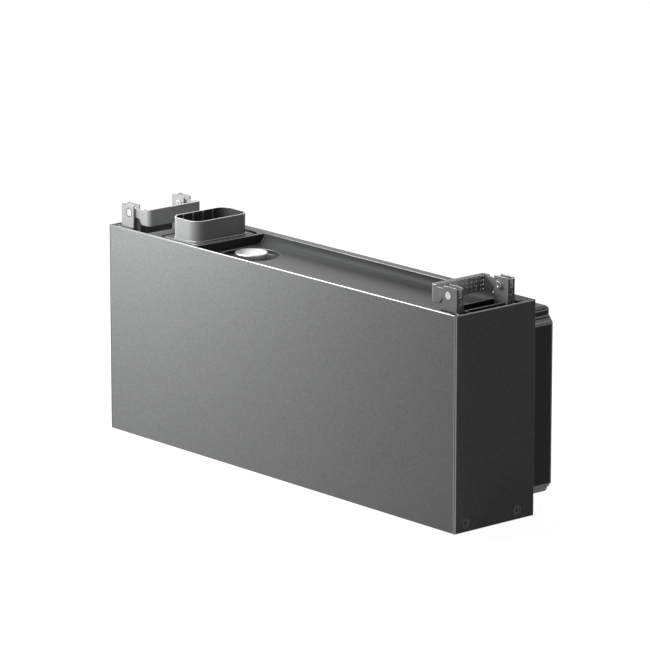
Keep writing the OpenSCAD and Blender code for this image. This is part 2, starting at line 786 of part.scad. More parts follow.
module valve_cap() {
    base = valve_floor_z + valve_seal_t + valve_flange_t;
    r = valve_cap_dia / 2;
    rim = 1;
    notch_r = 1.3;
    notch_h = 1.2;
    color([0.88, 0.88, 0.89]) placed() translate([-valve_x, valve_y, base]) difference() {
        rotate_extrude($fn = 72) polygon([
            [0, valve_cap_h - 2], [r - 3, valve_cap_h - 2], [r - 3, 0], [r - rim, 0], [r - rim, 1.5],
            [r, 2.2], [r, valve_cap_h - rim], [r - rim, valve_cap_h], [0, valve_cap_h]
        ]);
        // Two shallow holes for a pin spanner
        for (side = [-1, 1]) translate([side * (r - rim - notch_r - 0.6), 0, valve_cap_h - notch_h])
            cylinder(r = notch_r, h = notch_h + past, $fn = 24);
    }
}

// U-shaped bracket open at the top and towards the middle, built for the right-hand side
module handle_bracket(y0) {
    z0 = pocket_floor_z;
    z1 = case_h + bracket_rise;
    x = [bracket_inner_x, bracket_outer_x];
    slit_x = bracket_outer_x - 7.5;
    head_y = y0 < handle_mid_y ? y0 : y0 + bracket_d - bracket_t;
    shaft_y = y0 < handle_mid_y ? y0 + bracket_d - bracket_t : y0;
    difference() {
        union() {
            for (y = [y0, y0 + bracket_d - bracket_t]) bracket_plate(x, y, z0, z1);
            block([x[1] - bracket_t, x[1]], [y0, y0 + bracket_d], [z0, z1 - 1.5]);
            block(x, [y0, y0 + bracket_d], [z0, z0 + bracket_t]);
        }
        translate([pin_x, head_y - past, pin_z]) rod_y(pin_head_dia / 2 + 0.05, bracket_t + 2 * past);
        translate([pin_x, shaft_y - past, pin_z]) rod_y(pin_dia / 2 + 0.05, bracket_t + 2 * past);
        // Slot and window in the outboard web
        block([x[1] - bracket_t - past, x[1] + past], [y0 + bracket_d / 2 - 1.8, y0 + bracket_d / 2 + 1.8],
              [z1 - 12, z1 + past]);
        block([x[1] - bracket_t - past, x[1] + past], [y0 + bracket_d / 2 - 1.6, y0 + bracket_d / 2 + 1.6],
              [z1 - 21, z1 - 16]);
        // Slit in the top edge of the plate with the pin's head
        block([slit_x - 0.5, slit_x + 0.5], [head_y - past, head_y + bracket_t + past], [z1 - 3, z1 + past]);
        translate([bracket_screw_x, y0 + bracket_d / 2, z0 - past])
            cylinder(r = bracket_screw_dia / 2, h = bracket_t + 2 * past);
    }
}

// One upright plate of a bracket, with its upper corners cut off
module bracket_plate(x, y, z0, z1) {
    cut = 1.5;
    translate([0, y, 0]) along_y(bracket_t) polygon([
        [x[0], z0], [x[1], z0], [x[1], z1 - cut], [x[1] - cut, z1], [x[0] + cut, z1], [x[0], z1 - cut]
    ]);
}

module left_front_bracket() {
    color(panel_colour) placed() on_side(-1) handle_bracket(ear_y0);
}

module left_back_bracket() {
    color(panel_colour) placed() on_side(-1) handle_bracket(ear_y1);
}

module right_front_bracket() {
    color(panel_colour) placed() handle_bracket(ear_y0);
}

module right_back_bracket() {
    color(panel_colour) placed() handle_bracket(ear_y1);
}

// Stepped hinge pin: flush polished head, shaft, and a crown inside the bracket
module hinge_pin(y0) {
    crown_r = 4.8;
    crown_h = 2;
    flip = y0 < handle_mid_y ? 0 : 1;
    translate([pin_x, y0 + flip * bracket_d, pin_z]) mirror([0, flip, 0]) difference() {
        union() {
            rod_y(pin_head_dia / 2, bracket_t);
            rod_y(pin_dia / 2, bracket_d + crown_h);
            translate([0, bracket_d, 0]) rod_y(crown_r, crown_h);
        }
        translate([0, bracket_d + crown_h - 1.2, 0]) rotate([-90, 0, 0]) cylinder(r = 2.3, h = 3, $fn = 6);
    }
}

module left_front_pin() {
    color(steel_colour) placed() on_side(-1) hinge_pin(ear_y0);
}

module left_back_pin() {
    color(steel_colour) placed() on_side(-1) hinge_pin(ear_y1);
}

module right_front_pin() {
    color(steel_colour) placed() hinge_pin(ear_y0);
}

module right_back_pin() {
    color(steel_colour) placed() hinge_pin(ear_y1);
}

// Two washers beside each arm keep it in the middle of its bracket
module hinge_washers() {
    side_gap = 0.1;
    t = bracket_gap - 2 * side_gap;
    offsets = [bracket_t + side_gap, bracket_d - bracket_t - side_gap - t];
    color(black_plastic) placed()
        for (side = [-1, 1], y0 = [ear_y0, ear_y1], dy = offsets)
            on_side(side) translate([pin_x, y0 + dy, pin_z]) difference() {
                rod_y(pin_dia / 2 + 2, t);
                translate([0, -past, 0]) rod_y(pin_dia / 2 + 0.05, t + 2 * past);
            }
}

module bracket_screws() {
    head_h = 2.4;
    depth = cover_wall + 5;
    color(steel_colour) placed()
        for (side = [-1, 1], y0 = [ear_y0, ear_y1]) on_side(side)
            translate([bracket_screw_x, y0 + bracket_d / 2, pocket_floor_z]) difference() {
                union() {
                    translate([0, 0, bracket_t]) cylinder(r = 3.9, h = head_h);
                    translate([0, 0, -depth])
                        cylinder(r = bracket_screw_dia / 2 - 0.1, h = depth + bracket_t + tiny);
                }
                translate([0, 0, bracket_t + head_h - 1.3]) cylinder(r = 1.8, h = 3, $fn = 6);
            }
}

// Handle folded from one plate: a grip between two arms, built for the right-hand side
module handle() {
    z1 = handle_z + handle_grip_h;
    difference() {
        intersection() {
            translate([0, 0, handle_z]) linear_extrude(handle_grip_h) handle_plan();
            translate([0, handle_mid_y - handle_w / 2 - past, 0]) along_y(handle_w + 2 * past) arm_side(z1);
        }
        translate([pin_x, handle_mid_y - handle_w / 2 - past, pin_z])
            rod_y(pin_dia / 2 + pin_clearance, handle_w + 2 * past);
    }
}

// The bent plate seen from above
module handle_plan() {
    reach = pin_x + arm_end_r;
    inner_r = handle_fold_r - handle_t;
    translate([handle_edge_x, handle_mid_y]) difference() {
        fold_outline(reach - handle_edge_x, handle_w, handle_fold_r);
        translate([handle_t, 0]) fold_outline(reach - handle_edge_x, handle_w - 2 * handle_t, inner_r);
    }
}

// Rectangle from X = 0 with its two left corners rounded
module fold_outline(l, w, r) {
    translate([r, -w / 2]) square([l - r, w]);
    translate([0, -w / 2 + r]) square([l, w - 2 * r]);
    for (s = [-1, 1]) translate([r, s * (w / 2 - r)]) circle(r = r);
}

// The handle seen from the front: full height at the grip, stepped down to round ends at the pins
module arm_side(z1) {
    step_x = handle_edge_x + 15;
    sweep = 7.3;
    top_z = pin_z + arm_end_r;
    low_z = pin_z - arm_end_r;
    // Smooth rise of the lower edge from the grip to the narrow part of the arm
    rise = [
        for (s = [0 : 0.125 : 1])
            [step_x + sweep * s, handle_z + (low_z - handle_z) * (1 - cos(180 * s)) / 2]
    ];
    translate([pin_x, pin_z]) circle(r = arm_end_r);
    polygon(concat(
        [[handle_edge_x - past, z1 + past], [handle_edge_x - past, handle_z - past]],
        [[step_x, handle_z - past]],
        rise,
        [[pin_x, low_z], [pin_x, top_z], [handle_edge_x + 13, top_z], [handle_edge_x + 9, z1 + past]]
    ));
}

module left_handle() {
    color(panel_colour) placed() on_side(-1) handle();
}

module right_handle() {
    color(panel_colour) placed() handle();
}

// Pad with rows of domes on the side of the grip that faces down when the handle is raised
module grip_pad() {
    pad_w = handle_w - 2 * handle_t - 2 * (handle_fold_r - handle_t) - 1;
    x0 = handle_edge_x + handle_t;
    columns = floor((pad_w - dome_dia - 1) / dome_pitch) + 1;
    rows = floor((handle_grip_h - 1 - dome_dia - 0.4) / dome_row_pitch) + 1;
    mid_z = handle_z + handle_grip_h / 2;
    dome_h = 0.9;
    root = dome_dia / 6;
    block([x0, x0 + pad_t], [handle_mid_y - pad_w / 2, handle_mid_y + pad_w / 2],
          [handle_z + 0.5, handle_z + handle_grip_h - 0.5]);
    for (i = [0 : columns - 1], k = [0 : rows - 1])
        translate([x0 + pad_t - root, handle_mid_y + (i - (columns - 1) / 2) * dome_pitch,
                   mid_z + (k - (rows - 1) / 2) * dome_row_pitch])
            rotate([0, 90, 0])
                cylinder(r1 = dome_dia / 2, r2 = dome_dia / 2 - dome_h, h = dome_h + root, $fn = 16);
}

module left_grip() {
    color(rubber_colour) placed() on_side(-1) grip_pad();
}

module right_grip() {
    color(rubber_colour) placed() grip_pad();
}

// Slab of the rear cover with rounded rear corners, from the back panel outwards
module rear_slab(half, depth, z0, z1) {
    translate([0, back_y, z0]) linear_extrude(z1 - z0) intersection() {
        rounded_rect(2 * half, 2 * depth, rear_r, $fn = 24);
        translate([-half, 0]) square([2 * half, depth]);
    }
}

// A neck, a small middle step and the belly, each with rounded edges
module rear_shell(shrink) {
    neck = [rear_half - neck_step - shrink, rear_depth - neck_step - shrink];
    middle = [rear_half - neck_step / 2 - shrink, rear_depth - neck_step / 2 - shrink];
    belly = [rear_half - shrink, rear_depth - shrink];
    top = rear_top - shrink;
    bottom = rear_bottom + shrink;
    lower = belly_bottom + shrink / 2;
    upper = belly_top - shrink / 2;
    hull() {
        rear_slab(neck.x - 4, neck.y - 4, bottom, bottom + slice_t);
        rear_slab(neck.x - 1, neck.y - 1, bottom + 1.2, bottom + 1.2 + slice_t);
        rear_slab(neck.x, neck.y, bottom + 4, top - 5);
        rear_slab(neck.x - 1.4, neck.y - 1.4, top - 1.4 - slice_t, top - 1.4);
        rear_slab(neck.x - 5, neck.y - 5, top - slice_t, top);
    }
    hull() {
        rear_slab(neck.x - 0.5, neck.y - 0.5, lower - 5, lower - 5 + slice_t);
        rear_slab(middle.x, middle.y, lower - 2, upper + 4);
        rear_slab(neck.x - 0.5, neck.y - 0.5, upper + 9 - slice_t, upper + 9);
    }
    hull() {
        rear_slab(middle.x - 0.3, middle.y - 0.3, lower - 1.8, lower - 1.8 + slice_t);
        rear_slab(belly.x, belly.y, lower + 1, upper - 2);
        rear_slab(belly.x - 0.5, belly.y - 0.5, upper + 0.5 - slice_t, upper + 0.5);
        rear_slab(middle.x - 0.3, middle.y - 0.3, upper + 3 - slice_t, upper + 3);
    }
}

module rear_cover() {
    boss_r = 7;
    head_r = 4.8;
    color(black_plastic) placed() difference() {
        union() {
            difference() {
                rear_shell(0);
                rear_shell(rear_wall);
            }
            for (x = cover_screw_xs, z = cover_screw_zs)
                translate([x, back_y, z]) rod_y(boss_r, rear_depth - rear_wall + tiny);
        }
        // Seat of the seal against the back panel
        block([-half_w, half_w], [back_y - past, back_y + seal_t], [0, case_h]);
        for (x = cover_screw_xs, z = cover_screw_zs) translate([x, back_y, z]) {
            rod_y(2.6, rear_depth + past);
            translate([0, rear_depth - 6, 0]) rod_y(head_r, 6 + past);
        }
    }
}

// Seal between the back panel and the edge of the rear cover
module rear_seal() {
    color(rubber_colour) placed() intersection() {
        difference() {
            rear_shell(0.8);
            rear_shell(rear_wall + 1.2);
        }
        block([-half_w, half_w], [back_y, back_y + seal_t], [0, case_h]);
    }
}

module rear_cover_screws() {
    head_y = back_y + rear_depth - 6;
    color(steel_colour) placed()
        for (x = cover_screw_xs, z = cover_screw_zs) translate([x, head_y, z]) difference() {
            union() {
                rod_y(4.2, 3.4);
                translate([0, back_y - sheet - 4 - head_y, 0]) rod_y(2.3, head_y - back_y + sheet + 4 + tiny);
            }
            translate([0, 1.6, 0]) rotate([-90, 0, 0]) cylinder(r = 2.1, h = 4, $fn = 6);
        }
}

// Cell pack, standing on the tray's pockets
module pack_base() {
    color(steel_colour) placed()
        block([-row_w / 2 - clamp_t, row_w / 2 + clamp_t], [pack_y0, pack_y1], [tray_top, cell_z]);
}

function cell_x(i) = -row_w / 2 + i * (cell_t + spacer_t);

module cells() {
    color([0.16, 0.30, 0.48]) placed() for (i = [0 : cell_count - 1])
        translate([cell_x(i) + cell_t / 2, (pack_y0 + pack_y1) / 2, 0])
            rounded_block(cell_t, cell_d, 3, cell_z, cell_top);
}

module cell_spacers() {
    color([0.85, 0.84, 0.80]) placed() for (i = [1 : cell_count - 1])
        block([cell_x(i) - spacer_t, cell_x(i)], [pack_y0 + 2, pack_y1 - 2], [cell_z, cell_top - 3]);
}

// Clamping plate with ribs on its outer side, built for the right-hand end
module clamp_plate() {
    web = 4;
    rib_count = 4;
    x0 = row_w / 2;
    block([x0, x0 + web], [pack_y0, pack_y1], [cell_z, cell_top - 2]);
    for (i = [0 : rib_count - 1])
        let (y = pack_y0 + i * (cell_d - web) / (rib_count - 1))
            block([x0 + web - tiny, x0 + clamp_t], [y, y + web], [cell_z, cell_top - 2]);
}

module left_clamp_plate() {
    color("silver") placed() on_side(-1) clamp_plate();
}

module right_clamp_plate() {
    color("silver") placed() clamp_plate();
}

module clamp_bands() {
    x = row_w / 2 + clamp_t;
    band_h = 20;
    color(steel_colour) placed() for (z = [cell_z + 40, cell_top - 60]) difference() {
        block([-x - band_t, x + band_t], [pack_y0 - band_t, pack_y1 + band_t], [z, z + band_h]);
        block([-x, x], [pack_y0, pack_y1], [z - past, z + band_h + past]);
    }
}

// Terminals stand in two rows, each cell's polarity turned against its neighbour's
function post_x(i) = cell_x(i) + cell_t / 2;

module terminal_posts() {
    color("silver") placed() for (i = [0 : cell_count - 1], y = post_ys)
        translate([post_x(i), y, cell_top]) cylinder(r = post_r, h = post_h, $fn = 24);
}

module terminal_carrier() {
    color(black_plastic) placed() difference() {
        block([-row_w / 2 + 4, row_w / 2 - 4], [pack_y0 + 4, pack_y1 - 4], [cell_top, cell_top + carrier_t]);
        for (i = [0 : cell_count - 1], y = post_ys) translate([post_x(i), y, cell_top - past])
            cylinder(r = post_r + 0.5, h = carrier_t + 2 * past, $fn = 24);
    }
}

module busbars() {
    z = [cell_top + post_h, cell_top + post_h + busbar_t];
    half = busbar_w / 2;
    color(copper_colour) placed() {
        for (i = [0 : cell_count - 2])
            let (y = post_ys[i % 2])
                block([post_x(i) - 8, post_x(i + 1) + 8], [y - half, y + half], z);
        // Tabs of the first and the last cell, which reach back to the leads
        block([post_x(0) - 8, post_x(0) + 8], [post_ys[1] - half, pack_y1 - 2], z);
        for (y = post_ys[(cell_count - 1) % 2])
            block([post_x(cell_count - 1) - 8, post_x(cell_count - 1) + 8], [y - half, pack_y1 - 2], z);
    }
}

// Electronics on standoffs behind the back panel
module power_board() {
    color([0.10, 0.28, 0.16]) placed() block(board_x, [board_y, board_y + board_t], board_z);
}

module board_standoffs() {
    end_x = board_half - standoff_inset;
    zs = [board_z[0] + standoff_edge, board_z[1] - standoff_edge];
    color(steel_colour) placed() for (x = [-end_x, 0, end_x], z = zs)
        translate([x, back_y, z]) rod_y(standoff_r, board_y - back_y);
}

module heat_sink() {
    y0 = board_y + board_t;
    w = (fin_count - 1) * fin_pitch + fin_t;
    color("silver") placed() {
        block([sink_x, sink_x + w], [y0, y0 + sink_base_t], sink_z);
        for (i = [0 : fin_count - 1])
            block([sink_x + i * fin_pitch, sink_x + i * fin_pitch + fin_t],
                  [y0 + sink_base_t - tiny, y0 + sink_h], sink_z);
    }
}

module relays() {
    y0 = board_y + board_t;
    color(black_plastic) placed() for (i = [0, 1]) translate([relay_x + i * (relay_w + relay_gap), 0, 0])
        block([0, relay_w], [y0, y0 + relay_h], relay_z);
}

module main_fuse() {
    color([0.9, 0.9, 0.86]) placed()
        translate([relay_x, board_y + board_t + fuse_r, board_mid_z - fuse_drop]) {
            translate([fuse_cap_w / 2, 0, 0]) rod_x(fuse_r - 0.5, fuse_length - fuse_cap_w);
            for (x = [0, fuse_length - fuse_cap_w]) translate([x, 0, 0]) rod_x(fuse_r, fuse_cap_w);
        }
}

module capacitors() {
    x0 = sink_x - capacitor_offset;
    z0 = sink_z[0] + capacitor_r;
    color([0.12, 0.12, 0.16]) placed() for (i = [0, 1], k = [0 : capacitor_rows - 1])
        translate([x0 + i * capacitor_pitch, board_y + board_t, z0 + k * capacitor_row_pitch])
            rod_y(capacitor_r, capacitor_h);
}

// Terminals on the case side of the board, in front of the window
module lead_terminals() {
    half = terminal_size / 2;
    places = concat(
        [for (x = connector_lead_xs) [x, connector_lead_z]],
        [for (x = pack_lead_xs) [x, pack_lead_z]],
        [for (x = strap_xs) [x, socket_lead_z]]
    );
    color(copper_colour) placed() for (p = places)
        block([p.x - half, p.x + half], [board_y - terminal_d, board_y], [p.y - half, p.y + half]);
}

// From the blades of the stacking connector down behind the cells to the board
module connector_leads() {
    run_z = cell_top + post_h + busbar_t + lead_r + 1;
    end_y = board_y - terminal_d;
    color([0.75, 0.35, 0.08]) placed() for (i = [0, 1])
        let (x = connector_lead_xs[i], y = connector_y + blade_ys[i])
            lead(route([
                [x, y, blade_bottom_z], [x, y, run_z], [x, lead_y, run_z],
                [x, lead_y, connector_lead_z], [x, end_y, connector_lead_z]
            ], lead_bend), lead_r);
}

// From the straps of the bottom socket up behind the cells to the board
module socket_leads() {
    color([0.75, 0.35, 0.08]) placed() for (x = strap_xs)
        lead(route([
            [x, lead_y, strap_z[1]], [x, lead_y, socket_lead_z], [x, board_y - terminal_d, socket_lead_z]
        ], lead_bend), lead_r);
}

// From both ends of the row of cells along its back to the board
module pack_leads() {
    z = cell_top + post_h + busbar_t / 2;
    end_y = board_y - terminal_d;
    for (i = [0, 1]) let (x = post_x(i * (cell_count - 1)), x1 = pack_lead_xs[i])
        color(i == 0 ? [0.07, 0.07, 0.08] : [0.7, 0.1, 0.08]) placed() lead(route([
            [x, pack_y1 - 2, z], [x, lead_y, z], [x, lead_y, pack_lead_z],
            [x1, lead_y, pack_lead_z], [x1, end_y, pack_lead_z]
        ], lead_bend), lead_r);
}

front_panel();
left_end_panel();
right_end_panel();
back_panel();
top_cover();
bottom_tray();
connector_shroud();
connector_gasket();
contact_block();
power_contacts();
signal_contacts();
bottom_socket();
socket_contacts();
valve_body();
valve_seal();
valve_cap();
left_front_bracket();
left_back_bracket();
right_front_bracket();
right_back_bracket();
left_front_pin();
left_back_pin();
right_front_pin();
right_back_pin();
hinge_washers();
bracket_screws();
left_handle();
right_handle();
left_grip();
right_grip();
rear_cover();
rear_seal();
rear_cover_screws();
end_screws();
bracket_nuts();
pack_base();
cells();
cell_spacers();
left_clamp_plate();
right_clamp_plate();
clamp_bands();
terminal_carrier();
terminal_posts();
busbars();
power_board();
board_standoffs();
heat_sink();
relays();
main_fuse();
capacitors();
lead_terminals();
connector_leads();
socket_leads();
pack_leads();
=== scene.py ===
"""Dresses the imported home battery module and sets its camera, lamps and floor.

All lengths are in metres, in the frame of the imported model: X runs along the case,
Y from the front panel to the rear cover, and Z up, with the floor at zero.
"""

from __future__ import annotations

import json
import logging
import math
from dataclasses import dataclass, field
from enum import Enum
from typing import Any

import bmesh
import bpy
import numpy as np
from mathutils import Matrix, Vector

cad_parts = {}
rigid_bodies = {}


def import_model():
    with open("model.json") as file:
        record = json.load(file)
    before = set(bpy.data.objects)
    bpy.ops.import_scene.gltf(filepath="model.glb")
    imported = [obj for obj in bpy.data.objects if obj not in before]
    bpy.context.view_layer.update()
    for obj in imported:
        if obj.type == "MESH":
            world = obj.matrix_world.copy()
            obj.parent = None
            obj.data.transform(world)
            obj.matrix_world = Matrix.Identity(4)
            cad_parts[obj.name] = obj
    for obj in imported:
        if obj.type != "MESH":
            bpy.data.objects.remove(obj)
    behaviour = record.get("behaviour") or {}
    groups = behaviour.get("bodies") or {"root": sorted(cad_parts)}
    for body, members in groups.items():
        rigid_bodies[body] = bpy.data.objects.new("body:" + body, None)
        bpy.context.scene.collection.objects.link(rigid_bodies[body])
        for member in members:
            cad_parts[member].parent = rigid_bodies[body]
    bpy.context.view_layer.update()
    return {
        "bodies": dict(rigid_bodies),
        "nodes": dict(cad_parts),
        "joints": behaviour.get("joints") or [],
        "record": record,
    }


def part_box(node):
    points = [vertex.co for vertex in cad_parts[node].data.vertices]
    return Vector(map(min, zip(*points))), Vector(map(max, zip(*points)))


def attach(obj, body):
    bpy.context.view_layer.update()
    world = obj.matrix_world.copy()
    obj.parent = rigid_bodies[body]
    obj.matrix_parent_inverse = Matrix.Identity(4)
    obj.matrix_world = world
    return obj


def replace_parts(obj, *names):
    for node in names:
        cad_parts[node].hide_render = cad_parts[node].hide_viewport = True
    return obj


LOG = logging.getLogger("home_battery_module")
MM = 0.001

# Planes across the case: the front panel's face, and where its rear rims begin and take painted shade.
FRONT_Y = -91.15 * MM
REAR_SHADE_Y = FRONT_Y + 130.5 * MM

# The fine noise's share of the grain, and the coarse noise's scale against it.
FINE_SHARE = 0.7
COARSE_SCALE = 0.31

# A drawn grain's scale along X against the others, and a bump's depth against its grain.
DRAWN_STRETCH = 0.04
BUMP_SHARE = 0.5
COAT_ROUGHNESS = 0.25

# Edges of new pieces shade smoothly up to this many degrees.
SMOOTH_ANGLE = 35.0

# An axis counts as upright from this share of Z.
UPRIGHT_SHARE = 0.9

Array = np.ndarray
Colour = tuple[float, float, float]


class Body(str, Enum):
    """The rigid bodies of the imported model."""

    CASE = "case"
    LEFT_HANDLE = "left_handle"
    RIGHT_HANDLE = "right_handle"


# Name and body of the handle at each end, by the sign of X there.
HANDLE_ENDS = {-1: ("left", Body.LEFT_HANDLE), 1: ("right", Body.RIGHT_HANDLE)}


class Slot(str, Enum):
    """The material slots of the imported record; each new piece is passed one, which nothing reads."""

    PANEL = "panel"
    COVER = "cast_cover"
    HANDLE = "handle_metal"
    POLISHED = "polished"
    STEEL = "steel"
    REAR = "rear_plastic"
    BLACK = "black_plastic"
    RUBBER = "rubber"


class Lay(str, Enum):
    """Ways in which a grain can run over a surface."""

    EVEN = "even"
    DRAWN = "drawn"


class GroupName(str, Enum):
    """Shader node groups that several materials share."""

    GRAIN = "fine_grain"
    DRIFT = "tone_drift"


def new_socket(
    group: bpy.types.NodeTree, name: str, kind: str, is_input: bool, value: Any = None
) -> None:
    """Adds one named socket to a shader node group.

    Args:
        group: The node group.
        name: The socket's name.
        kind: "Float" or "Color".
        is_input: True for an input, False for an output.
        value: The input's default value, if any.
    """
    side = "INPUT" if is_input else "OUTPUT"
    socket = group.interface.new_socket(name=name, in_out=side, socket_type=f"NodeSocket{kind}")
    if value is not None:
        socket.default_value = value


def math_node(group: bpy.types.NodeTree, operation: str, first: Any, second: Any) -> bpy.types.NodeSocket:
    """Adds a Math node fed by sockets or numbers.

    Args:
        group: The node tree.
        operation: The Math node's operation.
        first: A socket or a number.
        second: A socket or a number.

    Returns:
        The node's output socket.
    """
    node = group.nodes.new("ShaderNodeMath")
    node.operation = operation
    for index, value in enumerate((first, second)):
        if isinstance(value, bpy.types.NodeSocket):
            group.links.new(value, node.inputs[index])
        else:
            node.inputs[index].default_value = value
    return node.outputs["Value"]


def grain_group() -> bpy.types.NodeTree:
    """Builds the group for a fine grain in the coat, the casting or the moulding.

    The grain is FINE_SHARE of a fine noise in object space, plus the rest of a
    coarser one. It shifts the colour and the roughness about their means, and
    comes out as a height as well.

    Returns:
        The node group.
    """
    name = GroupName.GRAIN.value
    if name in bpy.data.node_groups:
        return bpy.data.node_groups[name]
    group = bpy.data.node_groups.new(name, "ShaderNodeTree")
    new_socket(group, "Colour", "Color", True, (0.5, 0.5, 0.5, 1.0))
    new_socket(group, "Scale", "Float", True, 900.0)
    new_socket(group, "Stretch", "Float", True, 1.0)
    new_socket(group, "Contrast", "Float", True, 0.1)
    new_socket(group, "Roughness", "Float", True, 0.5)
    new_socket(group, "Spread", "Float", True, 0.1)
    new_socket(group, "Colour", "Color", False)
    new_socket(group, "Roughness", "Float", False)
    new_socket(group, "Height", "Float", False)
    nodes, links = group.nodes, group.links
    source = nodes.new("NodeGroupInput")
    sink = nodes.new("NodeGroupOutput")
    place = nodes.new("ShaderNodeTexCoord")
    squeeze = nodes.new("ShaderNodeCombineXYZ")
    squeeze.inputs["Y"].default_value = 1.0
    squeeze.inputs["Z"].default_value = 1.0
    links.new(source.outputs["Stretch"], squeeze.inputs["X"])
    scaled = nodes.new("ShaderNodeVectorMath")
    scaled.operation = "MULTIPLY"
    links.new(place.outputs["Object"], scaled.inputs[0])
    links.new(squeeze.outputs["Vector"], scaled.inputs[1])
    fine = nodes.new("ShaderNodeTexNoise")
    fine.inputs["Detail"].default_value = 1.0
    coarse = nodes.new("ShaderNodeTexNoise")
    coarse.inputs["Detail"].default_value = 2.0
    coarse_scale = math_node(group, "MULTIPLY", source.outputs["Scale"], COARSE_SCALE)
    links.new(source.outputs["Scale"], fine.inputs["Scale"])
    links.new(coarse_scale, coarse.inputs["Scale"])
    for noise in (fine, coarse):
        links.new(scaled.outputs["Vector"], noise.inputs["Vector"])
    share = math_node(group, "MULTIPLY", fine.outputs["Fac"], FINE_SHARE)
    rest = math_node(group, "MULTIPLY", coarse.outputs["Fac"], 1.0 - FINE_SHARE)
    mixed = math_node(group, "ADD", share, rest)
    swing = math_node(group, "SUBTRACT", mixed, 0.5)
    tone = math_node(group, "MULTIPLY", swing, source.outputs["Contrast"])
    lift = math_node(group, "ADD", tone, 1.0)
    tinted = nodes.new("ShaderNodeVectorMath")
    tinted.operation = "SCALE"
    links.new(source.outputs["Colour"], tinted.inputs[0])
    links.new(lift, tinted.inputs["Scale"])
    rough = math_node(group, "MULTIPLY", swing, source.outputs["Spread"])
    rough = math_node(group, "ADD", rough, source.outputs["Roughness"])
    links.new(tinted.outputs["Vector"], sink.inputs["Colour"])
    links.new(rough, sink.inputs["Roughness"])
    links.new(mixed, sink.inputs["Height"])
    return group


def drift_group() -> bpy.types.NodeTree:
    """Builds the group for the slow, slight drift of tone over a large surface.

    A soft noise in object space, about its mean of one half, times an amount,
    is added to one and multiplies the colour.

    Returns:
        The node group.
    """
    name = GroupName.DRIFT.value
    if name in bpy.data.node_groups:
        return bpy.data.node_groups[name]
    group = bpy.data.node_groups.new(name, "ShaderNodeTree")
    new_socket(group, "Colour", "Color", True, (0.5, 0.5, 0.5, 1.0))
    new_socket(group, "Scale", "Float", True, 7.0)
    new_socket(group, "Amount", "Float", True, 0.08)
    new_socket(group, "Colour", "Color", False)
    nodes, links = group.nodes, group.links
    source = nodes.new("NodeGroupInput")
    sink = nodes.new("NodeGroupOutput")
    place = nodes.new("ShaderNodeTexCoord")
    noise = nodes.new("ShaderNodeTexNoise")
    noise.inputs["Detail"].default_value = 1.5
    links.new(place.outputs["Object"], noise.inputs["Vector"])
    links.new(source.outputs["Scale"], noise.inputs["Scale"])
    swing = math_node(group, "SUBTRACT", noise.outputs["Fac"], 0.5)
    amount = math_node(group, "MULTIPLY", swing, source.outputs["Amount"])
    lift = math_node(group, "ADD", amount, 1.0)
    tinted = nodes.new("ShaderNodeVectorMath")
    tinted.operation = "SCALE"
    links.new(source.outputs["Colour"], tinted.inputs[0])
    links.new(lift, tinted.inputs["Scale"])
    links.new(tinted.outputs["Vector"], sink.inputs["Colour"])
    return group


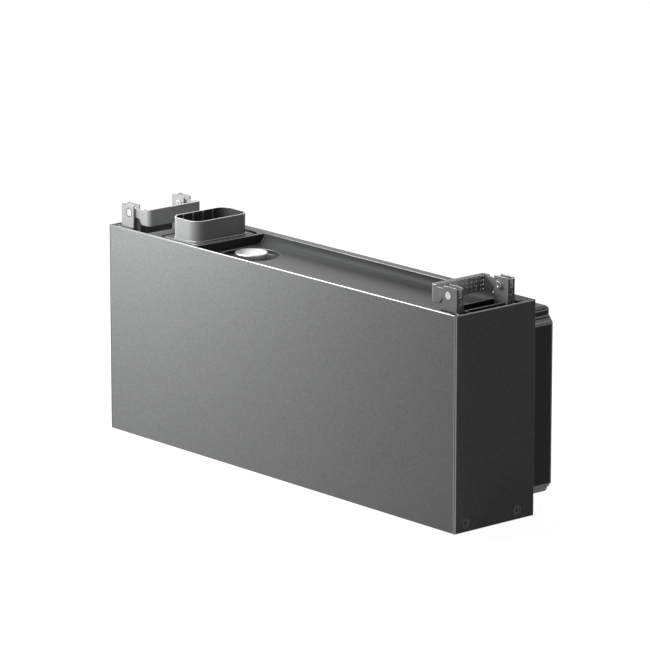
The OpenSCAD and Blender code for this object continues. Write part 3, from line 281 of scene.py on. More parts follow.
@dataclass(frozen=True)
class Finish:
    """One finish: its mean colour, its grain and its shader's plain values."""

    name: str
    colour: Colour
    roughness: float
    metallic: float = 0.0
    specular: float = 0.5
    grain_mm: float = 0.9
    contrast: float = 0.12
    spread: float = 0.15
    bump: float = 0.05
    drift: float = 0.06
    drift_scale: float = 7.0
    lay: Lay = Lay.EVEN
    coat: float = 0.0
    # Behind this Y the colour is scaled down by the share below: painted shade on the rear edges.
    painted_shade_past_y: float | None = None
    painted_shade_share: float = 0.2

    def material(self) -> bpy.types.Material:
        """Builds the material, or returns it if an earlier call has built it.

        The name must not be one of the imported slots, whose materials are there already.

        Returns:
            The material.
        """
        if self.name in bpy.data.materials:
            return bpy.data.materials[self.name]
        made = bpy.data.materials.new(self.name)
        made.use_nodes = True
        tree = made.node_tree
        shader = tree.nodes["Principled BSDF"]
        shader.inputs["Metallic"].default_value = self.metallic
        shader.inputs["Specular IOR Level"].default_value = self.specular
        shader.inputs["Coat Weight"].default_value = self.coat
        shader.inputs["Coat Roughness"].default_value = COAT_ROUGHNESS
        drift = tree.nodes.new("ShaderNodeGroup")
        drift.node_tree = drift_group()
        drift.inputs["Colour"].default_value = (*self.colour, 1.0)
        drift.inputs["Scale"].default_value = self.drift_scale
        drift.inputs["Amount"].default_value = self.drift
        grain = tree.nodes.new("ShaderNodeGroup")
        grain.node_tree = grain_group()
        grain.inputs["Scale"].default_value = 1.0 / (self.grain_mm * MM)
        grain.inputs["Stretch"].default_value = DRAWN_STRETCH if self.lay is Lay.DRAWN else 1.0
        grain.inputs["Contrast"].default_value = self.contrast
        grain.inputs["Roughness"].default_value = self.roughness
        grain.inputs["Spread"].default_value = self.spread
        bump = tree.nodes.new("ShaderNodeBump")
        bump.inputs["Strength"].default_value = self.bump
        bump.inputs["Distance"].default_value = self.grain_mm * MM * BUMP_SHARE
        # Painted shade: the colour darkens behind the plane across the rear.
        if self.painted_shade_past_y is None:
            tree.links.new(drift.outputs["Colour"], grain.inputs["Colour"])
        else:
            self.paint_rear_shade(tree, drift.outputs["Colour"], grain.inputs["Colour"])
        tree.links.new(grain.outputs["Colour"], shader.inputs["Base Color"])
        tree.links.new(grain.outputs["Roughness"], shader.inputs["Roughness"])
        tree.links.new(grain.outputs["Height"], bump.inputs["Height"])
        tree.links.new(bump.outputs["Normal"], shader.inputs["Normal"])
        return made

    def paint_rear_shade(
        self, tree: bpy.types.NodeTree, given: bpy.types.NodeSocket, taker: bpy.types.NodeSocket
    ) -> None:
        """Paints shade on the finish behind a plane across the case, darkening its rear edges.

        Args:
            tree: The material's node tree.
            given: The socket that gives the colour.
            taker: The socket that takes the darkened colour.
        """
        place = tree.nodes.new("ShaderNodeTexCoord")
        parts = tree.nodes.new("ShaderNodeSeparateXYZ")
        tree.links.new(place.outputs["Object"], parts.inputs["Vector"])
        behind = math_node(tree, "GREATER_THAN", parts.outputs["Y"], self.painted_shade_past_y)
        loss = math_node(tree, "MULTIPLY", behind, self.painted_shade_share - 1.0)
        share = math_node(tree, "ADD", loss, 1.0)
        scaled = tree.nodes.new("ShaderNodeVectorMath")
        scaled.operation = "SCALE"
        tree.links.new(given, scaled.inputs[0])
        tree.links.new(share, scaled.inputs["Scale"])
        tree.links.new(scaled.outputs["Vector"], taker)


PANEL_COAT = Finish(
    "panel_coat", (0.30, 0.303, 0.306), 0.5, specular=0.05, grain_mm=1.5, contrast=0.75,
    spread=0.3, bump=0.1,
)
COVER_COAT = Finish("cover_coat", (0.06, 0.061, 0.062), 0.34, specular=0.03, contrast=0.25, bump=0.06)
# Both rims take painted shade past the plane across the rear.
PANEL_RIM = Finish(
    "panel_rim", (0.20, 0.202, 0.204), 0.38, metallic=1.0, grain_mm=1.2, contrast=0.2, bump=0.03,
    painted_shade_past_y=REAR_SHADE_Y,
)
COVER_RIM = Finish(
    "cover_rim", (0.20, 0.202, 0.204), 0.38, metallic=1.0, contrast=0.2, bump=0.03,
    painted_shade_past_y=REAR_SHADE_Y,
)
SHROUD_COAT = Finish("shroud_coat", (0.35, 0.353, 0.356), 0.36, specular=0.1, contrast=0.2, bump=0.04)
SHROUD_RIM = Finish("shroud_rim", (0.34, 0.343, 0.346), 0.34, metallic=1.0, contrast=0.2, bump=0.03)
# Painted shade: the shroud's inner walls are far darker than its outer coat, for the shadow inside it.
SHROUD_PAINTED_SHADE = Finish(
    "shroud_painted_shade", (0.06, 0.06, 0.061), 0.42, specular=0.05, contrast=0.2, bump=0.04
)
HANDLE_RIM = Finish("handle_rim", (0.34, 0.343, 0.346), 0.34, metallic=1.0, contrast=0.2, bump=0.03)
DARK_SCREW = Finish("dark_screw", (0.07, 0.07, 0.073), 0.35, specular=0.4, contrast=0.15, bump=0.03)
GRIP_RUBBER = Finish(
    "grip_rubber", (0.42, 0.42, 0.425), 0.4, metallic=0.4, specular=0.5, contrast=0.25, bump=0.1
)
HANDLE_COAT = Finish("handle_coat", (0.37, 0.373, 0.376), 0.42, specular=0.05, contrast=0.25)
POLISHED = Finish(
    "polished_steel", (0.86, 0.86, 0.87), 0.12, metallic=1.0, contrast=0.05, spread=0.05, bump=0.01
)
SATIN = Finish("satin_steel", (0.5, 0.5, 0.51), 0.4, metallic=1.0, contrast=0.06, spread=0.05, bump=0.01)
ZINC = Finish("zinc_plate", (0.55, 0.56, 0.57), 0.34, metallic=1.0, contrast=0.2, bump=0.04)
EXTRUDED = Finish(
    "extruded_aluminium", (0.66, 0.67, 0.68), 0.38, metallic=1.0, contrast=0.15, lay=Lay.DRAWN
)
COPPER = Finish("plain_copper", (0.68, 0.36, 0.22), 0.32, metallic=1.0, contrast=0.16, lay=Lay.DRAWN)
REAR_PLASTIC = Finish(
    "rear_moulding", (0.018, 0.018, 0.019), 0.32, specular=0.12, contrast=0.2, bump=0.03, drift=0.1
)
REAR_RIM = Finish("rear_moulding_rim", (0.03, 0.03, 0.032), 0.3, specular=1.0, contrast=0.2, bump=0.02)
BLACK_PLASTIC = Finish("black_moulding", (0.026, 0.026, 0.028), 0.5, contrast=0.2, bump=0.08)
RUBBER = Finish("black_rubber", (0.016, 0.016, 0.017), 0.7, contrast=0.25, bump=0.12)
SLEEVE = Finish("sleeve_film", (0.03, 0.09, 0.22), 0.3, contrast=0.08, bump=0.02, coat=0.3)
SHEET = Finish("insulating_sheet", (0.72, 0.70, 0.64), 0.6, contrast=0.1)
LACQUER = Finish("board_lacquer", (0.02, 0.12, 0.05), 0.3, contrast=0.15, bump=0.03, coat=0.4)
JACKET = Finish("jacket_skin", (0.62, 0.20, 0.03), 0.4, contrast=0.06, bump=0.02)


class Surface:
    """Gathers grids of points into one closed mesh."""

    def __init__(self, name: str) -> None:
        """Starts an empty surface.

        Args:
            name: The name of the mesh to be made.
        """
        self.name = name
        self.points: list[Array] = []
        self.faces: list[Array] = []
        self.count = 0

    def loops(self, places: Array) -> None:
        """Adds a tube of closed loops, whose first and last loops are closed by fans.

        Args:
            places: Points as loops by steps by three.
        """
        rows, steps = places.shape[:2]
        first = self.count
        index = first + np.arange(rows * steps).reshape(rows, steps)
        after = np.roll(index, -1, axis=1)
        quads = np.stack([index[:-1], after[:-1], after[1:], index[1:]], axis=-1).reshape(-1, 4)
        middles = first + rows * steps + np.arange(2)
        start = np.stack([after[0], index[0], np.full(steps, middles[0])], axis=-1)
        end = np.stack([index[-1], after[-1], np.full(steps, middles[1])], axis=-1)
        self.points += [places.reshape(-1, 3), places[0].mean(axis=0)[None], places[-1].mean(axis=0)[None]]
        self.faces += [quads, start, end]
        self.count += rows * steps + 2

    def mesh(self, merge_mm: float = 0.002) -> bpy.types.Mesh:
        """Makes the mesh, merges its doubles and turns its faces outwards.

        Args:
            merge_mm: Points closer than this become one.

        Returns:
            The mesh.
        """
        made = bpy.data.meshes.new(self.name)
        faces = [face for part in self.faces for face in part.tolist()]
        made.from_pydata(np.concatenate(self.points).tolist(), [], faces)
        work = bmesh.new()
        work.from_mesh(made)
        bmesh.ops.remove_doubles(work, verts=work.verts, dist=merge_mm * MM)
        bmesh.ops.recalc_face_normals(work, faces=work.faces)
        work.to_mesh(made)
        work.free()
        made.shade_smooth()
        made.set_sharp_from_angle(angle=math.radians(SMOOTH_ANGLE))
        return made


def turned(centre: Array, along: Array, heights: Array, radii: Array) -> Array:
    """Works out the loops of a turned body.

    Point (i, j) is the centre, plus height i along the axis, plus radius (i, j) times
    (cos t * across + sin t * up), where t runs evenly round the circle.

    Args:
        centre: The axis's origin.
        along: The axis's direction, of length one.
        heights: One height for each loop.
        radii: One radius for each point, as loops by steps.

    Returns:
        The points, as loops by steps by three.
    """
    helper = np.array([0.0, 0.0, 1.0]) if abs(along[2]) < UPRIGHT_SHARE else np.array([1.0, 0.0, 0.0])
    across = np.cross(along, helper)
    across /= np.linalg.norm(across)
    up = np.cross(along, across)
    turn = np.linspace(0.0, 2.0 * np.pi, radii.shape[1], endpoint=False)
    flat = np.cos(turn)[:, None] * across + np.sin(turn)[:, None] * up
    return centre + heights[:, None, None] * along + radii[..., None] * flat[None]


def round_rows(radii: list[float], steps: int) -> Array:
    """Repeats one radius for each loop all round it.

    Args:
        radii: One radius for each loop.
        steps: Points in each loop.

    Returns:
        The radii, as loops by steps.
    """
    return np.repeat(np.array(radii)[:, None], steps, axis=1)


def hexagon(flat_to_flat: float, steps: int) -> Array:
    """Works out the radii of a hexagon, half its width over the cosine of the turn from a flat's middle.

    Args:
        flat_to_flat: The hexagon's width.
        steps: Points in the loop.

    Returns:
        The radii.
    """
    turn = np.linspace(0.0, 2.0 * np.pi, steps, endpoint=False)
    off = np.mod(turn + np.pi / 6.0, np.pi / 3.0) - np.pi / 6.0
    return flat_to_flat / 2.0 / np.cos(off)


def add_piece(mesh: bpy.types.Mesh, body: Body, slot: Slot, *finishes: Finish) -> bpy.types.Object:
    """Adds one new piece to the scene, riding on its body.

    Args:
        mesh: The piece's mesh, in its place.
        body: The body that it rides on.
        slot: The record's slot that its finish belongs to. Not used.
        finishes: Its finishes, in the order of its faces' material numbers.

    Returns:
        The piece.
    """
    piece = bpy.data.objects.new(mesh.name, mesh)
    bpy.context.scene.collection.objects.link(piece)
    for finish in finishes:
        mesh.materials.append(finish.material())
    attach(piece, body.value)
    LOG.info("piece %s: %d faces, rides on %s", piece.name, len(mesh.polygons), body.value)
    return piece


@dataclass
class RoundedCopy:
    """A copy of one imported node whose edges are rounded, so that they catch the light.

    Its normals are weighted by the areas of the faces, which keeps its flat faces
    even right up to the rounded edges.
    """

    node: str
    body: Body
    slot: Slot
    finish: Finish
    rim: Finish
    width_mm: float = 0.35
    segments: int = 2
    least_angle: float = 32.0
    chamfer_mm: float = 0.0
    clamped: bool = False
    merge_mm: float = 0.004
    flat_angle: float = 0.6
    square_on: float = 0.95
    area_weight: int = 100

    def build(self, frame: dict[str, Any]) -> bpy.types.Object:
        """Merges a copy of the node, rounds its edges and lets it stand for the node.


        Returns:
            The piece.
        """
        mesh = bpy.data.meshes.new(f"{self.node}_rounded")
        work = bmesh.new()
        work.from_mesh(frame["nodes"][self.node].data)
        bmesh.ops.remove_doubles(work, verts=work.verts, dist=self.merge_mm * MM)
        bmesh.ops.dissolve_limit(
            work, angle_limit=math.radians(self.flat_angle), verts=work.verts, edges=work.edges
        )
        # A panel's chamfer is a long face that leans, and it takes the rim's finish.
        for face in work.faces:
            face.smooth = True
            slanted = max(map(abs, face.normal)) < self.square_on
            long = max(edge.calc_length() for edge in face.edges) > self.chamfer_mm * MM
            face.material_index = 1 if self.chamfer_mm and slanted and long else 0
        work.to_mesh(mesh)
        work.free()
        piece = add_piece(mesh, self.body, self.slot, self.finish, self.rim)
        bevel = piece.modifiers.new("edges", "BEVEL")
        bevel.width = self.width_mm * MM
        bevel.segments = self.segments
        bevel.limit_method = "ANGLE"
        bevel.angle_limit = math.radians(self.least_angle)
        bevel.use_clamp_overlap = self.clamped
        bevel.material = 1
        evened = piece.modifiers.new("normals", "WEIGHTED_NORMAL")
        evened.mode = "FACE_AREA"
        evened.weight = self.area_weight
        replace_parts(piece, self.node)
        return piece


@dataclass
class CaseShell:
    """The sheet panels, whose chamfers shine along the top and the corners."""

    rim_mm: float = 0.2
    chamfer_mm: float = 60.0

    def build(self, frame: dict[str, Any]) -> None:
        """Builds the four panels.
        """
        for node in ("front_panel", "left_end_panel", "right_end_panel", "back_panel"):
            RoundedCopy(
                node, Body.CASE, Slot.PANEL, PANEL_COAT, PANEL_RIM,
                width_mm=self.rim_mm, chamfer_mm=self.chamfer_mm,
            ).build(frame)


@dataclass
class TopDeck:
    """The cast cover, the connector's shroud and gasket, and the relief valve."""

    cover_rim_mm: float = 0.5
    shroud_rim_mm: float = 0.25
    valve_rim_mm: float = 0.4
    flange_drop: float = 20.0 * MM
    level_from: float = 0.7

    def build(self, frame: dict[str, Any]) -> None:
        """Builds the pieces of the deck.
        """
        case = Body.CASE
        RoundedCopy("top_cover", case, Slot.COVER, COVER_COAT, COVER_RIM, self.cover_rim_mm).build(frame)
        self.shade_shroud_inside(
            RoundedCopy(
                "connector_shroud", case, Slot.COVER, SHROUD_COAT, SHROUD_RIM, self.shroud_rim_mm
            ).build(frame)
        )
        for node, slot, finish in (
            ("connector_gasket", Slot.RUBBER, RUBBER), ("contact_block", Slot.BLACK, BLACK_PLASTIC)
        ):
            RoundedCopy(node, case, slot, finish, finish, self.cover_rim_mm).build(frame)
        RoundedCopy(
            "valve_cap", case, Slot.POLISHED, SATIN, SATIN, self.valve_rim_mm, clamped=True
        ).build(frame)

    def shade_shroud_inside(self, shroud: bpy.types.Object) -> None:
        """Gives the shroud's inner walls a dark finish, painted shade for the shadow inside it, and its
        flange the cover's coat.

        A wall is an inner one where its normal points to the shroud's middle.

        Args:
            shroud: The shroud's piece.
        """
        mesh = shroud.data
        inner_shade, flange = len(mesh.materials), len(mesh.materials) + 1
        mesh.materials.append(SHROUD_PAINTED_SHADE.material())
        mesh.materials.append(COVER_COAT.material())
        low, high = (np.array(corner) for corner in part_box("connector_shroud"))
        middle = (low + high) / 2.0
        for face in mesh.polygons:
            away = np.array(face.center) - middle
            level = abs(face.normal.z) > self.level_from
            if level and face.center.z < high[2] - self.flange_drop:
                face.material_index = flange
            elif not level and away[0] * face.normal.x + away[1] * face.normal.y < 0.0:
                face.material_index = inner_shade


@dataclass
class EndScrews:
    """Domed socket screws low on the end panels, each in a black rubber ring that also stands for the
    shade in the recess round its head.

    The dome's points are shares of the head's radius and of the dome's rise.
    """

    head_r: float = 5.3 * MM
    head_h: float = 0.9 * MM
    dome: tuple[tuple[float, float], ...] = ((0.62, 0.15), (0.85, 0.5), (1.0, 1.0))
    dome_rise: float = 0.55 * MM
    socket_w: float = 4.2 * MM
    socket_depth: float = 1.6 * MM
    socket_rim: float = 0.25 * MM
    shank_r: float = 3.0 * MM
    shank_end: float = 6.0 * MM
    cap_share: float = 0.2
    ring_r: float = 6.2 * MM
    ring_h: float = 0.45 * MM
    ring_gap: float = 0.05 * MM
    ring_steps: int = 7
    steps: int = 48

    def places(self, low: Array, high: Array) -> list[tuple[Array, Array]]:
        """Works out where the screws sit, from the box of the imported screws.

        Args:
            low: The box's lowest corner.
            high: The box's highest corner.

        Returns:
            The middle of each head's outer face, and the outward direction.
        """
        z = (low[2] + high[2]) / 2.0
        ys = (low[1] + self.head_r, high[1] - self.head_r)
        return [
            (np.array([side * high[0], y, z]), np.array([float(side), 0.0, 0.0]))
            for side in HANDLE_ENDS for y in ys
        ]

    def screw_loops(self, top: Array, out: Array) -> Array:
        """Works out one screw, from the socket's floor over the dome to the end of the shank.

        Args:
            top: The middle of the head's outer face.
            out: The outward direction.

        Returns:
            The points, as loops by steps by three.
        """
        hole = hexagon(self.socket_w, self.steps)[None]
        heights = [-self.socket_depth, -self.socket_depth, 0.0, 0.0]
        heights += [-rise * self.dome_rise for _, rise in self.dome]
        heights += [-self.head_h, -self.head_h, -self.shank_end, -self.shank_end]
        head = [share * self.head_r for share, _ in self.dome] + [self.head_r]
        shank = [self.shank_r, self.shank_r, self.cap_share * self.shank_r]
        radii = np.concatenate([
            hole * self.cap_share, hole, hole, hole + self.socket_rim,
            round_rows(head + shank, self.steps),
        ])
        return turned(top, out, np.array(heights), radii)

    def ring_loops(self, top: Array, out: Array) -> Array:
        """Works out one ring, whose section is half an ellipse on the recess's floor.

        Args:
            top: The middle of the head's outer face.
            out: The outward direction.

        Returns:
            The points, as loops by steps by three.
        """
        inner, outer = self.head_r + self.ring_gap, self.ring_r
        middle, half = (inner + outer) / 2.0, (outer - inner) / 2.0
        turn = np.linspace(0.0, np.pi, self.ring_steps)
        foot = -self.head_h
        heights = np.concatenate([[foot], foot + self.ring_h * np.sin(turn), [foot]])
        radii = np.concatenate([[middle], middle - half * np.cos(turn), [middle]])
        return turned(top, out, heights, round_rows(list(radii), self.steps))

    def build(self) -> None:
        """Builds the screws and their rings."""
        low, high = (np.array(corner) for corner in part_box("end_screws"))
        screws, rings = Surface("end_screws_domed"), Surface("end_screw_shade_rings")
        for top, out in self.places(low, high):
            screws.loops(self.screw_loops(top, out))
            rings.loops(self.ring_loops(top, out))
        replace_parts(add_piece(screws.mesh(), Body.CASE, Slot.STEEL, DARK_SCREW), "end_screws")
        # The black rings are rubber rings and also painted shade for the gap round each head.
        add_piece(rings.mesh(), Body.CASE, Slot.RUBBER, RUBBER)


@dataclass
class GripPad:
    """The pad on the outboard side of a handle's grip, with rows of domes and a slanted foot.

    The toe's point lies over the foot's outer edge. The knee's points lie inside the
    pad's thickness and under the knee's rise, and the last one lies over it.
    """

    side: int
    thickness: float = 2.4 * MM
    round_r: float = 1.1 * MM
    foot_x: float = 0.5 * MM
    toe: tuple[float, float] = (0.5 * MM, 0.35 * MM)
    knee_rise: float = 6.8 * MM
    knee: tuple[tuple[float, float], ...] = (
        (0.25 * MM, 0.9 * MM), (0.04 * MM, 0.3 * MM), (0.0, -0.4 * MM)
    )
    end_r: float = 1.4 * MM
    end_share: float = 0.02
    arc_points: int = 6
    dome_r: float = 1.75 * MM
    dome_h: float = 0.95 * MM
    dome_pitch: float = 8.0 * MM
    dome_sink: float = 0.3 * MM
    dome_turn: float = 0.96
    dome_loops: int = 5
    dome_steps: int = 16
    row_pitch: float = 5.6 * MM
    rows: int = 4
    columns: int = 10
    rivet_r: float = 1.25 * MM
    rivet_share: float = 0.8
    fold_r: float = 5.4 * MM
    plate_t: float = 3.0 * MM

    def inboard(self, low: Array, high: Array) -> float:
        """Finds the face of a box that points to the middle of the case.

        Args:
            low: The box's lowest corner.
            high: The box's highest corner.

        Returns:
            The face's X.
        """
        return low[0] if self.side > 0 else high[0]

    def row_rises(self, low: Array, high: Array) -> list[float]:
        """Spaces the rows of domes evenly about the middle of the pad's height.

        Args:
            low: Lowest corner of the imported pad.
            high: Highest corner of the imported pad.

        Returns:
            Each row's height over the pad's lower edge.
        """
        middle = (low[2] + high[2]) / 2.0 - low[2]
        return [middle + (row - (self.rows - 1) / 2.0) * self.row_pitch for row in range(self.rows)]

    def section(self, height: float) -> Array:
        """Works out the pad's section as thickness and height over its lower edge.

        From the lower edge a slanted foot rises to the knee, a flat face follows,
        and a quarter circle rounds the upper edge. The back is straight.

        Args:
            height: The pad's height.

        Returns:
            Points of the closed section.
        """
        turn = np.linspace(0.0, np.pi / 2.0, self.arc_points)
        arc_x = self.thickness - self.round_r * (1.0 - np.cos(turn))
        arc_z = height - self.round_r * (1.0 - np.sin(turn))
        foot = [(0.0, 0.0), (self.foot_x, 0.0), (self.foot_x + self.toe[0], self.toe[1])]
        knee = [(self.thickness - x, self.knee_rise - z) for x, z in self.knee]
        return np.concatenate([foot, knee, np.stack([arc_x, arc_z], axis=1), [(0.0, height)]])

    def body_loops(self, low: Array, high: Array) -> Array:
        """Carries the section along the grip; near each end its thickness falls as a quarter ellipse.

        Args:
            low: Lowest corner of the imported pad.
            high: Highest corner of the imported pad.

        Returns:
            The points, as loops by steps by three.
        """
        section = self.section(high[2] - low[2])
        half = (high[1] - low[1]) / 2.0
        turn = np.linspace(0.0, np.pi / 2.0, self.arc_points)
        run = half - self.end_r * (1.0 - np.sin(turn))
        share = np.maximum(np.cos(turn), self.end_share)
        along = np.concatenate([-run[::-1], run])
        share = np.concatenate([share[::-1], share])
        x = self.inboard(low, high) + self.side * section[None, :, 0] * share[:, None]
        y = np.repeat((low[1] + half + along)[:, None], len(section), axis=1)
        z = np.repeat((low[2] + section[:, 1])[None], len(along), axis=0)
        return np.stack([x, y, z], axis=-1)

    def dome(self, centre: Array, out: Array, radius: float, height: float) -> Array:
        """Works out a dome: radius times the cosine, height times the sine, of an even turn.

        Args:
            centre: The middle of its foot.
            out: Its outward direction.
            radius: Its radius.
            height: Its height.

        Returns:
            The points, as loops by steps by three.
        """
        turn = np.linspace(0.0, np.pi / 2.0 * self.dome_turn, self.dome_loops)
        radii = np.concatenate([[radius], radius * np.cos(turn)])
        heights = np.concatenate([[-self.dome_sink], height * np.sin(turn)])
        return turned(centre, out, heights, round_rows(list(radii), self.dome_steps))

    def add_domes(self, pad: Surface, low: Array, high: Array) -> None:
        """Adds the rows of domes; those below the knee lean out with the foot.

        Args:
            pad: The pad's surface.
            low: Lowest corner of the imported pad.
            high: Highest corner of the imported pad.
        """
        outline = self.section(high[2] - low[2])[1:-1]
        middle_y = (low[1] + high[1]) / 2.0
        lean = math.atan2(self.thickness - self.foot_x, self.knee_rise)
        for rise in self.row_rises(low, high):
            x = self.inboard(low, high) + self.side * np.interp(rise, outline[:, 1], outline[:, 0])
            tilt = lean if rise < self.knee_rise else 0.0
            out = np.array([self.side * math.cos(tilt), 0.0, -math.sin(tilt)])
            for column in range(self.columns):
                y = middle_y + (column - (self.columns - 1) / 2.0) * self.dome_pitch
                pad.loops(self.dome(np.array([x, y, low[2] + rise]), out, self.dome_r, self.dome_h))

    def add_rivets(self, rivets: Surface, name: str, heights: list[float]) -> None:
        """Adds the rivets inside the handle's two folds, pointing halfway between its plates.

        Args:
            rivets: The rivets' surface.
            name: "left" or "right".
            heights: The rivets' Z.
        """
        low, high = (np.array(corner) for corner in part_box(f"{name}_handle"))
        fold_x = self.inboard(low, high) + self.side * self.fold_r
        lie = math.sqrt(0.5)
        reach = (self.fold_r - self.plate_t) * lie
        for end, fold_y in ((-1, low[1] + self.fold_r), (1, high[1] - self.fold_r)):
            out = np.array([self.side * lie, -end * lie, 0.0])
            for z in heights:
                centre = np.array([fold_x - self.side * reach, fold_y + end * reach, z])
                rivets.loops(self.dome(centre, out, self.rivet_r, self.rivet_share * self.rivet_r))

    def build(self) -> None:
        """Builds the pad with its domes, and the rivets in the folds beside it."""
        name, body = HANDLE_ENDS[self.side]
        low, high = (np.array(corner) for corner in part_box(f"{name}_grip"))
        pad, rivets = Surface(f"{name}_grip_pad"), Surface(f"{name}_fold_rivets")
        pad.loops(self.body_loops(low, high))
        self.add_domes(pad, low, high)
        self.add_rivets(rivets, name, [low[2] + rise for rise in self.row_rises(low, high)])
        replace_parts(add_piece(pad.mesh(), body, Slot.RUBBER, GRIP_RUBBER), f"{name}_grip")
        add_piece(rivets.mesh(), body, Slot.POLISHED, POLISHED)


@dataclass
class HandleEnd:
    """One carrying handle with its two brackets, its pins, and black rings of painted shade round the
    pins.
    """

    side: int
    rim_mm: float = 0.35
    pin_rim_mm: float = 0.3
    ring_in: float = 5.2 * MM
    ring_out: float = 6.15 * MM
    ring_h: float = 0.12 * MM
    steps: int = 40

    def pin_shade_rings(self, name: str) -> None:
        """Builds the thin black rings round the pins' heads on the brackets' outer faces: painted shade
        for the dark gap round each head.

        Args:
            name: "left" or "right".
        """
        rings = Surface(f"{name}_pin_shade_rings")
        for place, out in (("front", -1.0), ("back", 1.0)):
            low, high = (np.array(corner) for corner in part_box(f"{name}_{place}_pin"))
            face_y = low[1] if out < 0 else high[1]
            centre = np.array([(low[0] + high[0]) / 2.0, face_y, (low[2] + high[2]) / 2.0])
            heights = np.array([-self.ring_h, self.ring_h, self.ring_h, -self.ring_h, -self.ring_h])
            radii = [self.ring_in, self.ring_in, self.ring_out, self.ring_out, self.ring_in]
            rings.loops(turned(centre, np.array([0.0, out, 0.0]), heights, round_rows(radii, self.steps)))
        # These black rings are painted shade, not parts of the hinge.
        add_piece(rings.mesh(), Body.CASE, Slot.BLACK, BLACK_PLASTIC)

    def build(self, frame: dict[str, Any]) -> None:
        """Builds the pieces of one end.
        """
        name, body = HANDLE_ENDS[self.side]
        for place in ("front", "back"):
            RoundedCopy(
                f"{name}_{place}_bracket", Body.CASE, Slot.HANDLE, HANDLE_COAT, HANDLE_RIM, self.rim_mm
            ).build(frame)
            RoundedCopy(
                f"{name}_{place}_pin", Body.CASE, Slot.POLISHED, SATIN, POLISHED,
                self.pin_rim_mm, clamped=True,
            ).build(frame)
        RoundedCopy(f"{name}_handle", body, Slot.HANDLE, HANDLE_COAT, HANDLE_RIM, self.rim_mm).build(frame)
        self.pin_shade_rings(name)
        GripPad(self.side).build()


@dataclass
class RearHousing:
    """The stepped rear cover, whose bands run into each other in round edges."""

    rim_mm: float = 1.1
    segments: int = 3
    least_angle: float = 9.0

    def build(self, frame: dict[str, Any]) -> None:
        """Builds the rounded cover.
        """
        RoundedCopy(
            "rear_cover", Body.CASE, Slot.REAR, REAR_PLASTIC, REAR_RIM,
            self.rim_mm, self.segments, self.least_angle,
        ).build(frame)


@dataclass
class CarriedNodes:
    """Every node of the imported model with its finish, also the nodes that a piece replaces."""

    finishes: dict[str, Finish] = field(default_factory=lambda: {
        "front_panel": PANEL_COAT,
        "left_end_panel": PANEL_COAT,
        "right_end_panel": PANEL_COAT,
        "back_panel": PANEL_COAT,
        "top_cover": COVER_COAT,
        "bottom_tray": BLACK_PLASTIC,
        "connector_shroud": HANDLE_COAT,
        "connector_gasket": RUBBER,
        "contact_block": BLACK_PLASTIC,
        "power_contacts": COPPER,
        "signal_contacts": COPPER,
        "bottom_socket": BLACK_PLASTIC,
        "socket_contacts": COPPER,
        "valve_body": ZINC,
        "valve_seal": RUBBER,
        "valve_cap": SATIN,
        "left_front_bracket": HANDLE_COAT,
        "left_back_bracket": HANDLE_COAT,
        "right_front_bracket": HANDLE_COAT,
        "right_back_bracket": HANDLE_COAT,
        "left_front_pin": POLISHED,
        "left_back_pin": POLISHED,
        "right_front_pin": POLISHED,
        "right_back_pin": POLISHED,
        "hinge_washers": BLACK_PLASTIC,
        "bracket_screws": ZINC,
        "left_handle": HANDLE_COAT,
        "right_handle": HANDLE_COAT,
        "left_grip": RUBBER,
        "right_grip": RUBBER,
        "rear_cover": REAR_PLASTIC,
        "rear_seal": RUBBER,
        "rear_cover_screws": ZINC,
        "end_screws": ZINC,
        "bracket_nuts": ZINC,
        "pack_base": ZINC,
        "cells": SLEEVE,
        "cell_spacers": SHEET,
        "left_clamp_plate": EXTRUDED,
        "right_clamp_plate": EXTRUDED,
        "clamp_bands": ZINC,
        "terminal_carrier": BLACK_PLASTIC,
        "terminal_posts": EXTRUDED,
        "busbars": COPPER,
        "power_board": LACQUER,
        "board_standoffs": ZINC,
        "heat_sink": EXTRUDED,
        "relays": BLACK_PLASTIC,
        "main_fuse": SHEET,
        "capacitors": SLEEVE,
        "lead_terminals": COPPER,
        "connector_leads": JACKET,
        "socket_leads": JACKET,
        "pack_leads": JACKET,
    })

    def dress(self, frame: dict[str, Any]) -> None:
        """Gives every node its material.
        """
        for name, node in frame["nodes"].items():
            finish = self.finishes[name]
            node.data.materials.clear()
            node.data.materials.append(finish.material())
            LOG.info("node %s: %s", name, finish.name)


def facing(at: Vector, ahead: Vector) -> Matrix:
    """Places a lamp or camera, which looks along its own negative Z.

    Args:
        at: Its place.
        ahead: The direction that it looks in.

    Returns:
        Its matrix in the world.
    """
    return Matrix.Translation(at) @ ahead.to_track_quat("-Z", "Y").to_matrix().to_4x4()


def seen_directly(tree: bpy.types.NodeTree) -> bpy.types.NodeSocket:
    """Adds nodes that give one for camera, glossy and transmission rays, and zero for others.

    Args:
        tree: The node tree.

    Returns:
        The output socket.
    """
    path = tree.nodes.new("ShaderNodeLightPath")
    seen = math_node(tree, "MAXIMUM", path.outputs["Is Camera Ray"], path.outputs["Is Glossy Ray"])
    return math_node(tree, "MAXIMUM", seen, path.outputs["Is Transmission Ray"])


@dataclass(frozen=True)
class Lamp:
    """One soft square lamp."""

    name: str
    at: tuple[float, float, float]
    power: float
    size: float
    aim: tuple[float, float, float] = (0.0, -0.09, 0.2)

    def build(self) -> None:
        """Adds the lamp, turned towards its aim."""
        data = bpy.data.lights.new(self.name, "AREA")
        data.size = self.size
        data.energy = self.power
        lamp = bpy.data.objects.new(self.name, data)
        bpy.context.scene.collection.objects.link(lamp)
        place = Vector(self.at)
        lamp.matrix_world = facing(place, (Vector(self.aim) - place).normalized())


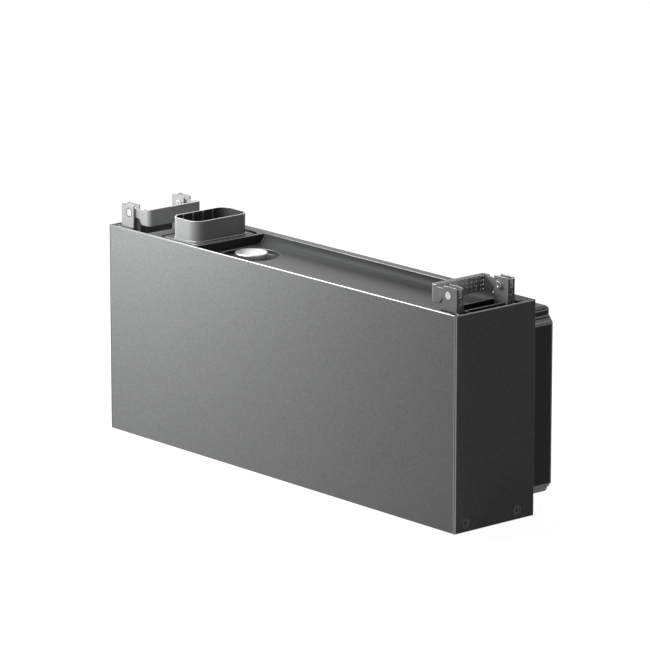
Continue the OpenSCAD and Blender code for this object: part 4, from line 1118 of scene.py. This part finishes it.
LAMPS = (
    Lamp("key", (-1.6, -0.2, 0.5), 19.0, 0.8),
    Lamp("near", (-0.30, -0.25, 0.66), 5.4, 0.35),
    Lamp("low_left", (-0.40, -0.35, 0.22), 0.3, 0.35),
    Lamp("right_front", (0.6, -1.6, 0.7), 3.0, 1.0),
    Lamp("sheen", (-0.62, 0.47, 0.485), 1.0, 0.5),
    Lamp("cove_light", (-0.68, -0.45, 0.75), 0.6, 0.25),
    Lamp("back_right", (1.3, 1.15, 0.95), 1.0, 0.4),
)


@dataclass
class Studio:
    """Camera, lamps, world and floor."""

    azimuth: float = 48.9514
    elevation: float = 13.8427
    camera_at: tuple[float, float, float] = (4.584528, -3.908378 + FRONT_Y, 1.688557)
    focal_px: float = 4861.4
    frame_px: float = 650.0
    sensor_mm: float = 36.0
    floor_half: float = 30.0
    clip_end: float = 100.0
    floor_tone: float = 0.2
    floor_roughness: float = 0.9
    floor_glow: float = 0.95
    lamps: tuple[Lamp, ...] = LAMPS

    def camera(self) -> None:
        """Sets the camera at the photograph's place and angle of view."""
        data = bpy.data.cameras.new("camera")
        data.sensor_width = self.sensor_mm
        data.lens = self.focal_px / self.frame_px * self.sensor_mm
        data.clip_end = self.clip_end
        camera = bpy.data.objects.new("camera", data)
        bpy.context.scene.collection.objects.link(camera)
        turn, tilt = math.radians(self.azimuth), math.radians(self.elevation)
        ahead = Vector((
            -math.sin(turn) * math.cos(tilt), math.cos(turn) * math.cos(tilt), -math.sin(tilt)
        ))
        camera.matrix_world = facing(Vector(self.camera_at), ahead)
        bpy.context.scene.camera = camera

    def world(self) -> None:
        """Shows white to the camera and in reflections, and gives no other light."""
        world = bpy.data.worlds.new("studio")
        bpy.context.scene.world = world
        world.use_nodes = True
        tree = world.node_tree
        background = tree.nodes["Background"]
        background.inputs["Color"].default_value = (1.0, 1.0, 1.0, 1.0)
        tree.links.new(seen_directly(tree), background.inputs["Strength"])

    def floor(self) -> None:
        """Lays a floor, nearly white to the camera and in reflections, that takes a faint shadow."""
        half = self.floor_half
        mesh = bpy.data.meshes.new("floor")
        corners = [(-half, -half, 0.0), (half, -half, 0.0), (half, half, 0.0), (-half, half, 0.0)]
        mesh.from_pydata(corners, [], [(0, 1, 2, 3)])
        floor = bpy.data.objects.new("floor", mesh)
        bpy.context.scene.collection.objects.link(floor)
        made = bpy.data.materials.new("pale_floor")
        made.use_nodes = True
        tree = made.node_tree
        shader = tree.nodes["Principled BSDF"]
        shader.inputs["Base Color"].default_value = (*(self.floor_tone,) * 3, 1.0)
        shader.inputs["Roughness"].default_value = self.floor_roughness
        shader.inputs["Emission Color"].default_value = (1.0, 1.0, 1.0, 1.0)
        glow = math_node(tree, "MULTIPLY", seen_directly(tree), self.floor_glow)
        tree.links.new(glow, shader.inputs["Emission Strength"])
        mesh.materials.append(made)

    def build(self) -> None:
        """Sets up the whole studio."""
        scene = bpy.context.scene
        scene.view_settings.view_transform = "Standard"
        self.camera()
        self.world()
        self.floor()
        for lamp in self.lamps:
            lamp.build()


def main() -> None:
    """Loads the frame, dresses it and sets up the studio."""
    logging.basicConfig(level=logging.INFO, format="%(message)s")
    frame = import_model()
    CarriedNodes().dress(frame)
    CaseShell().build(frame)
    TopDeck().build(frame)
    EndScrews().build()
    for side in HANDLE_ENDS:
        HandleEnd(side).build(frame)
    RearHousing().build(frame)
    Studio().build()


if __name__ == "__main__":
    main()
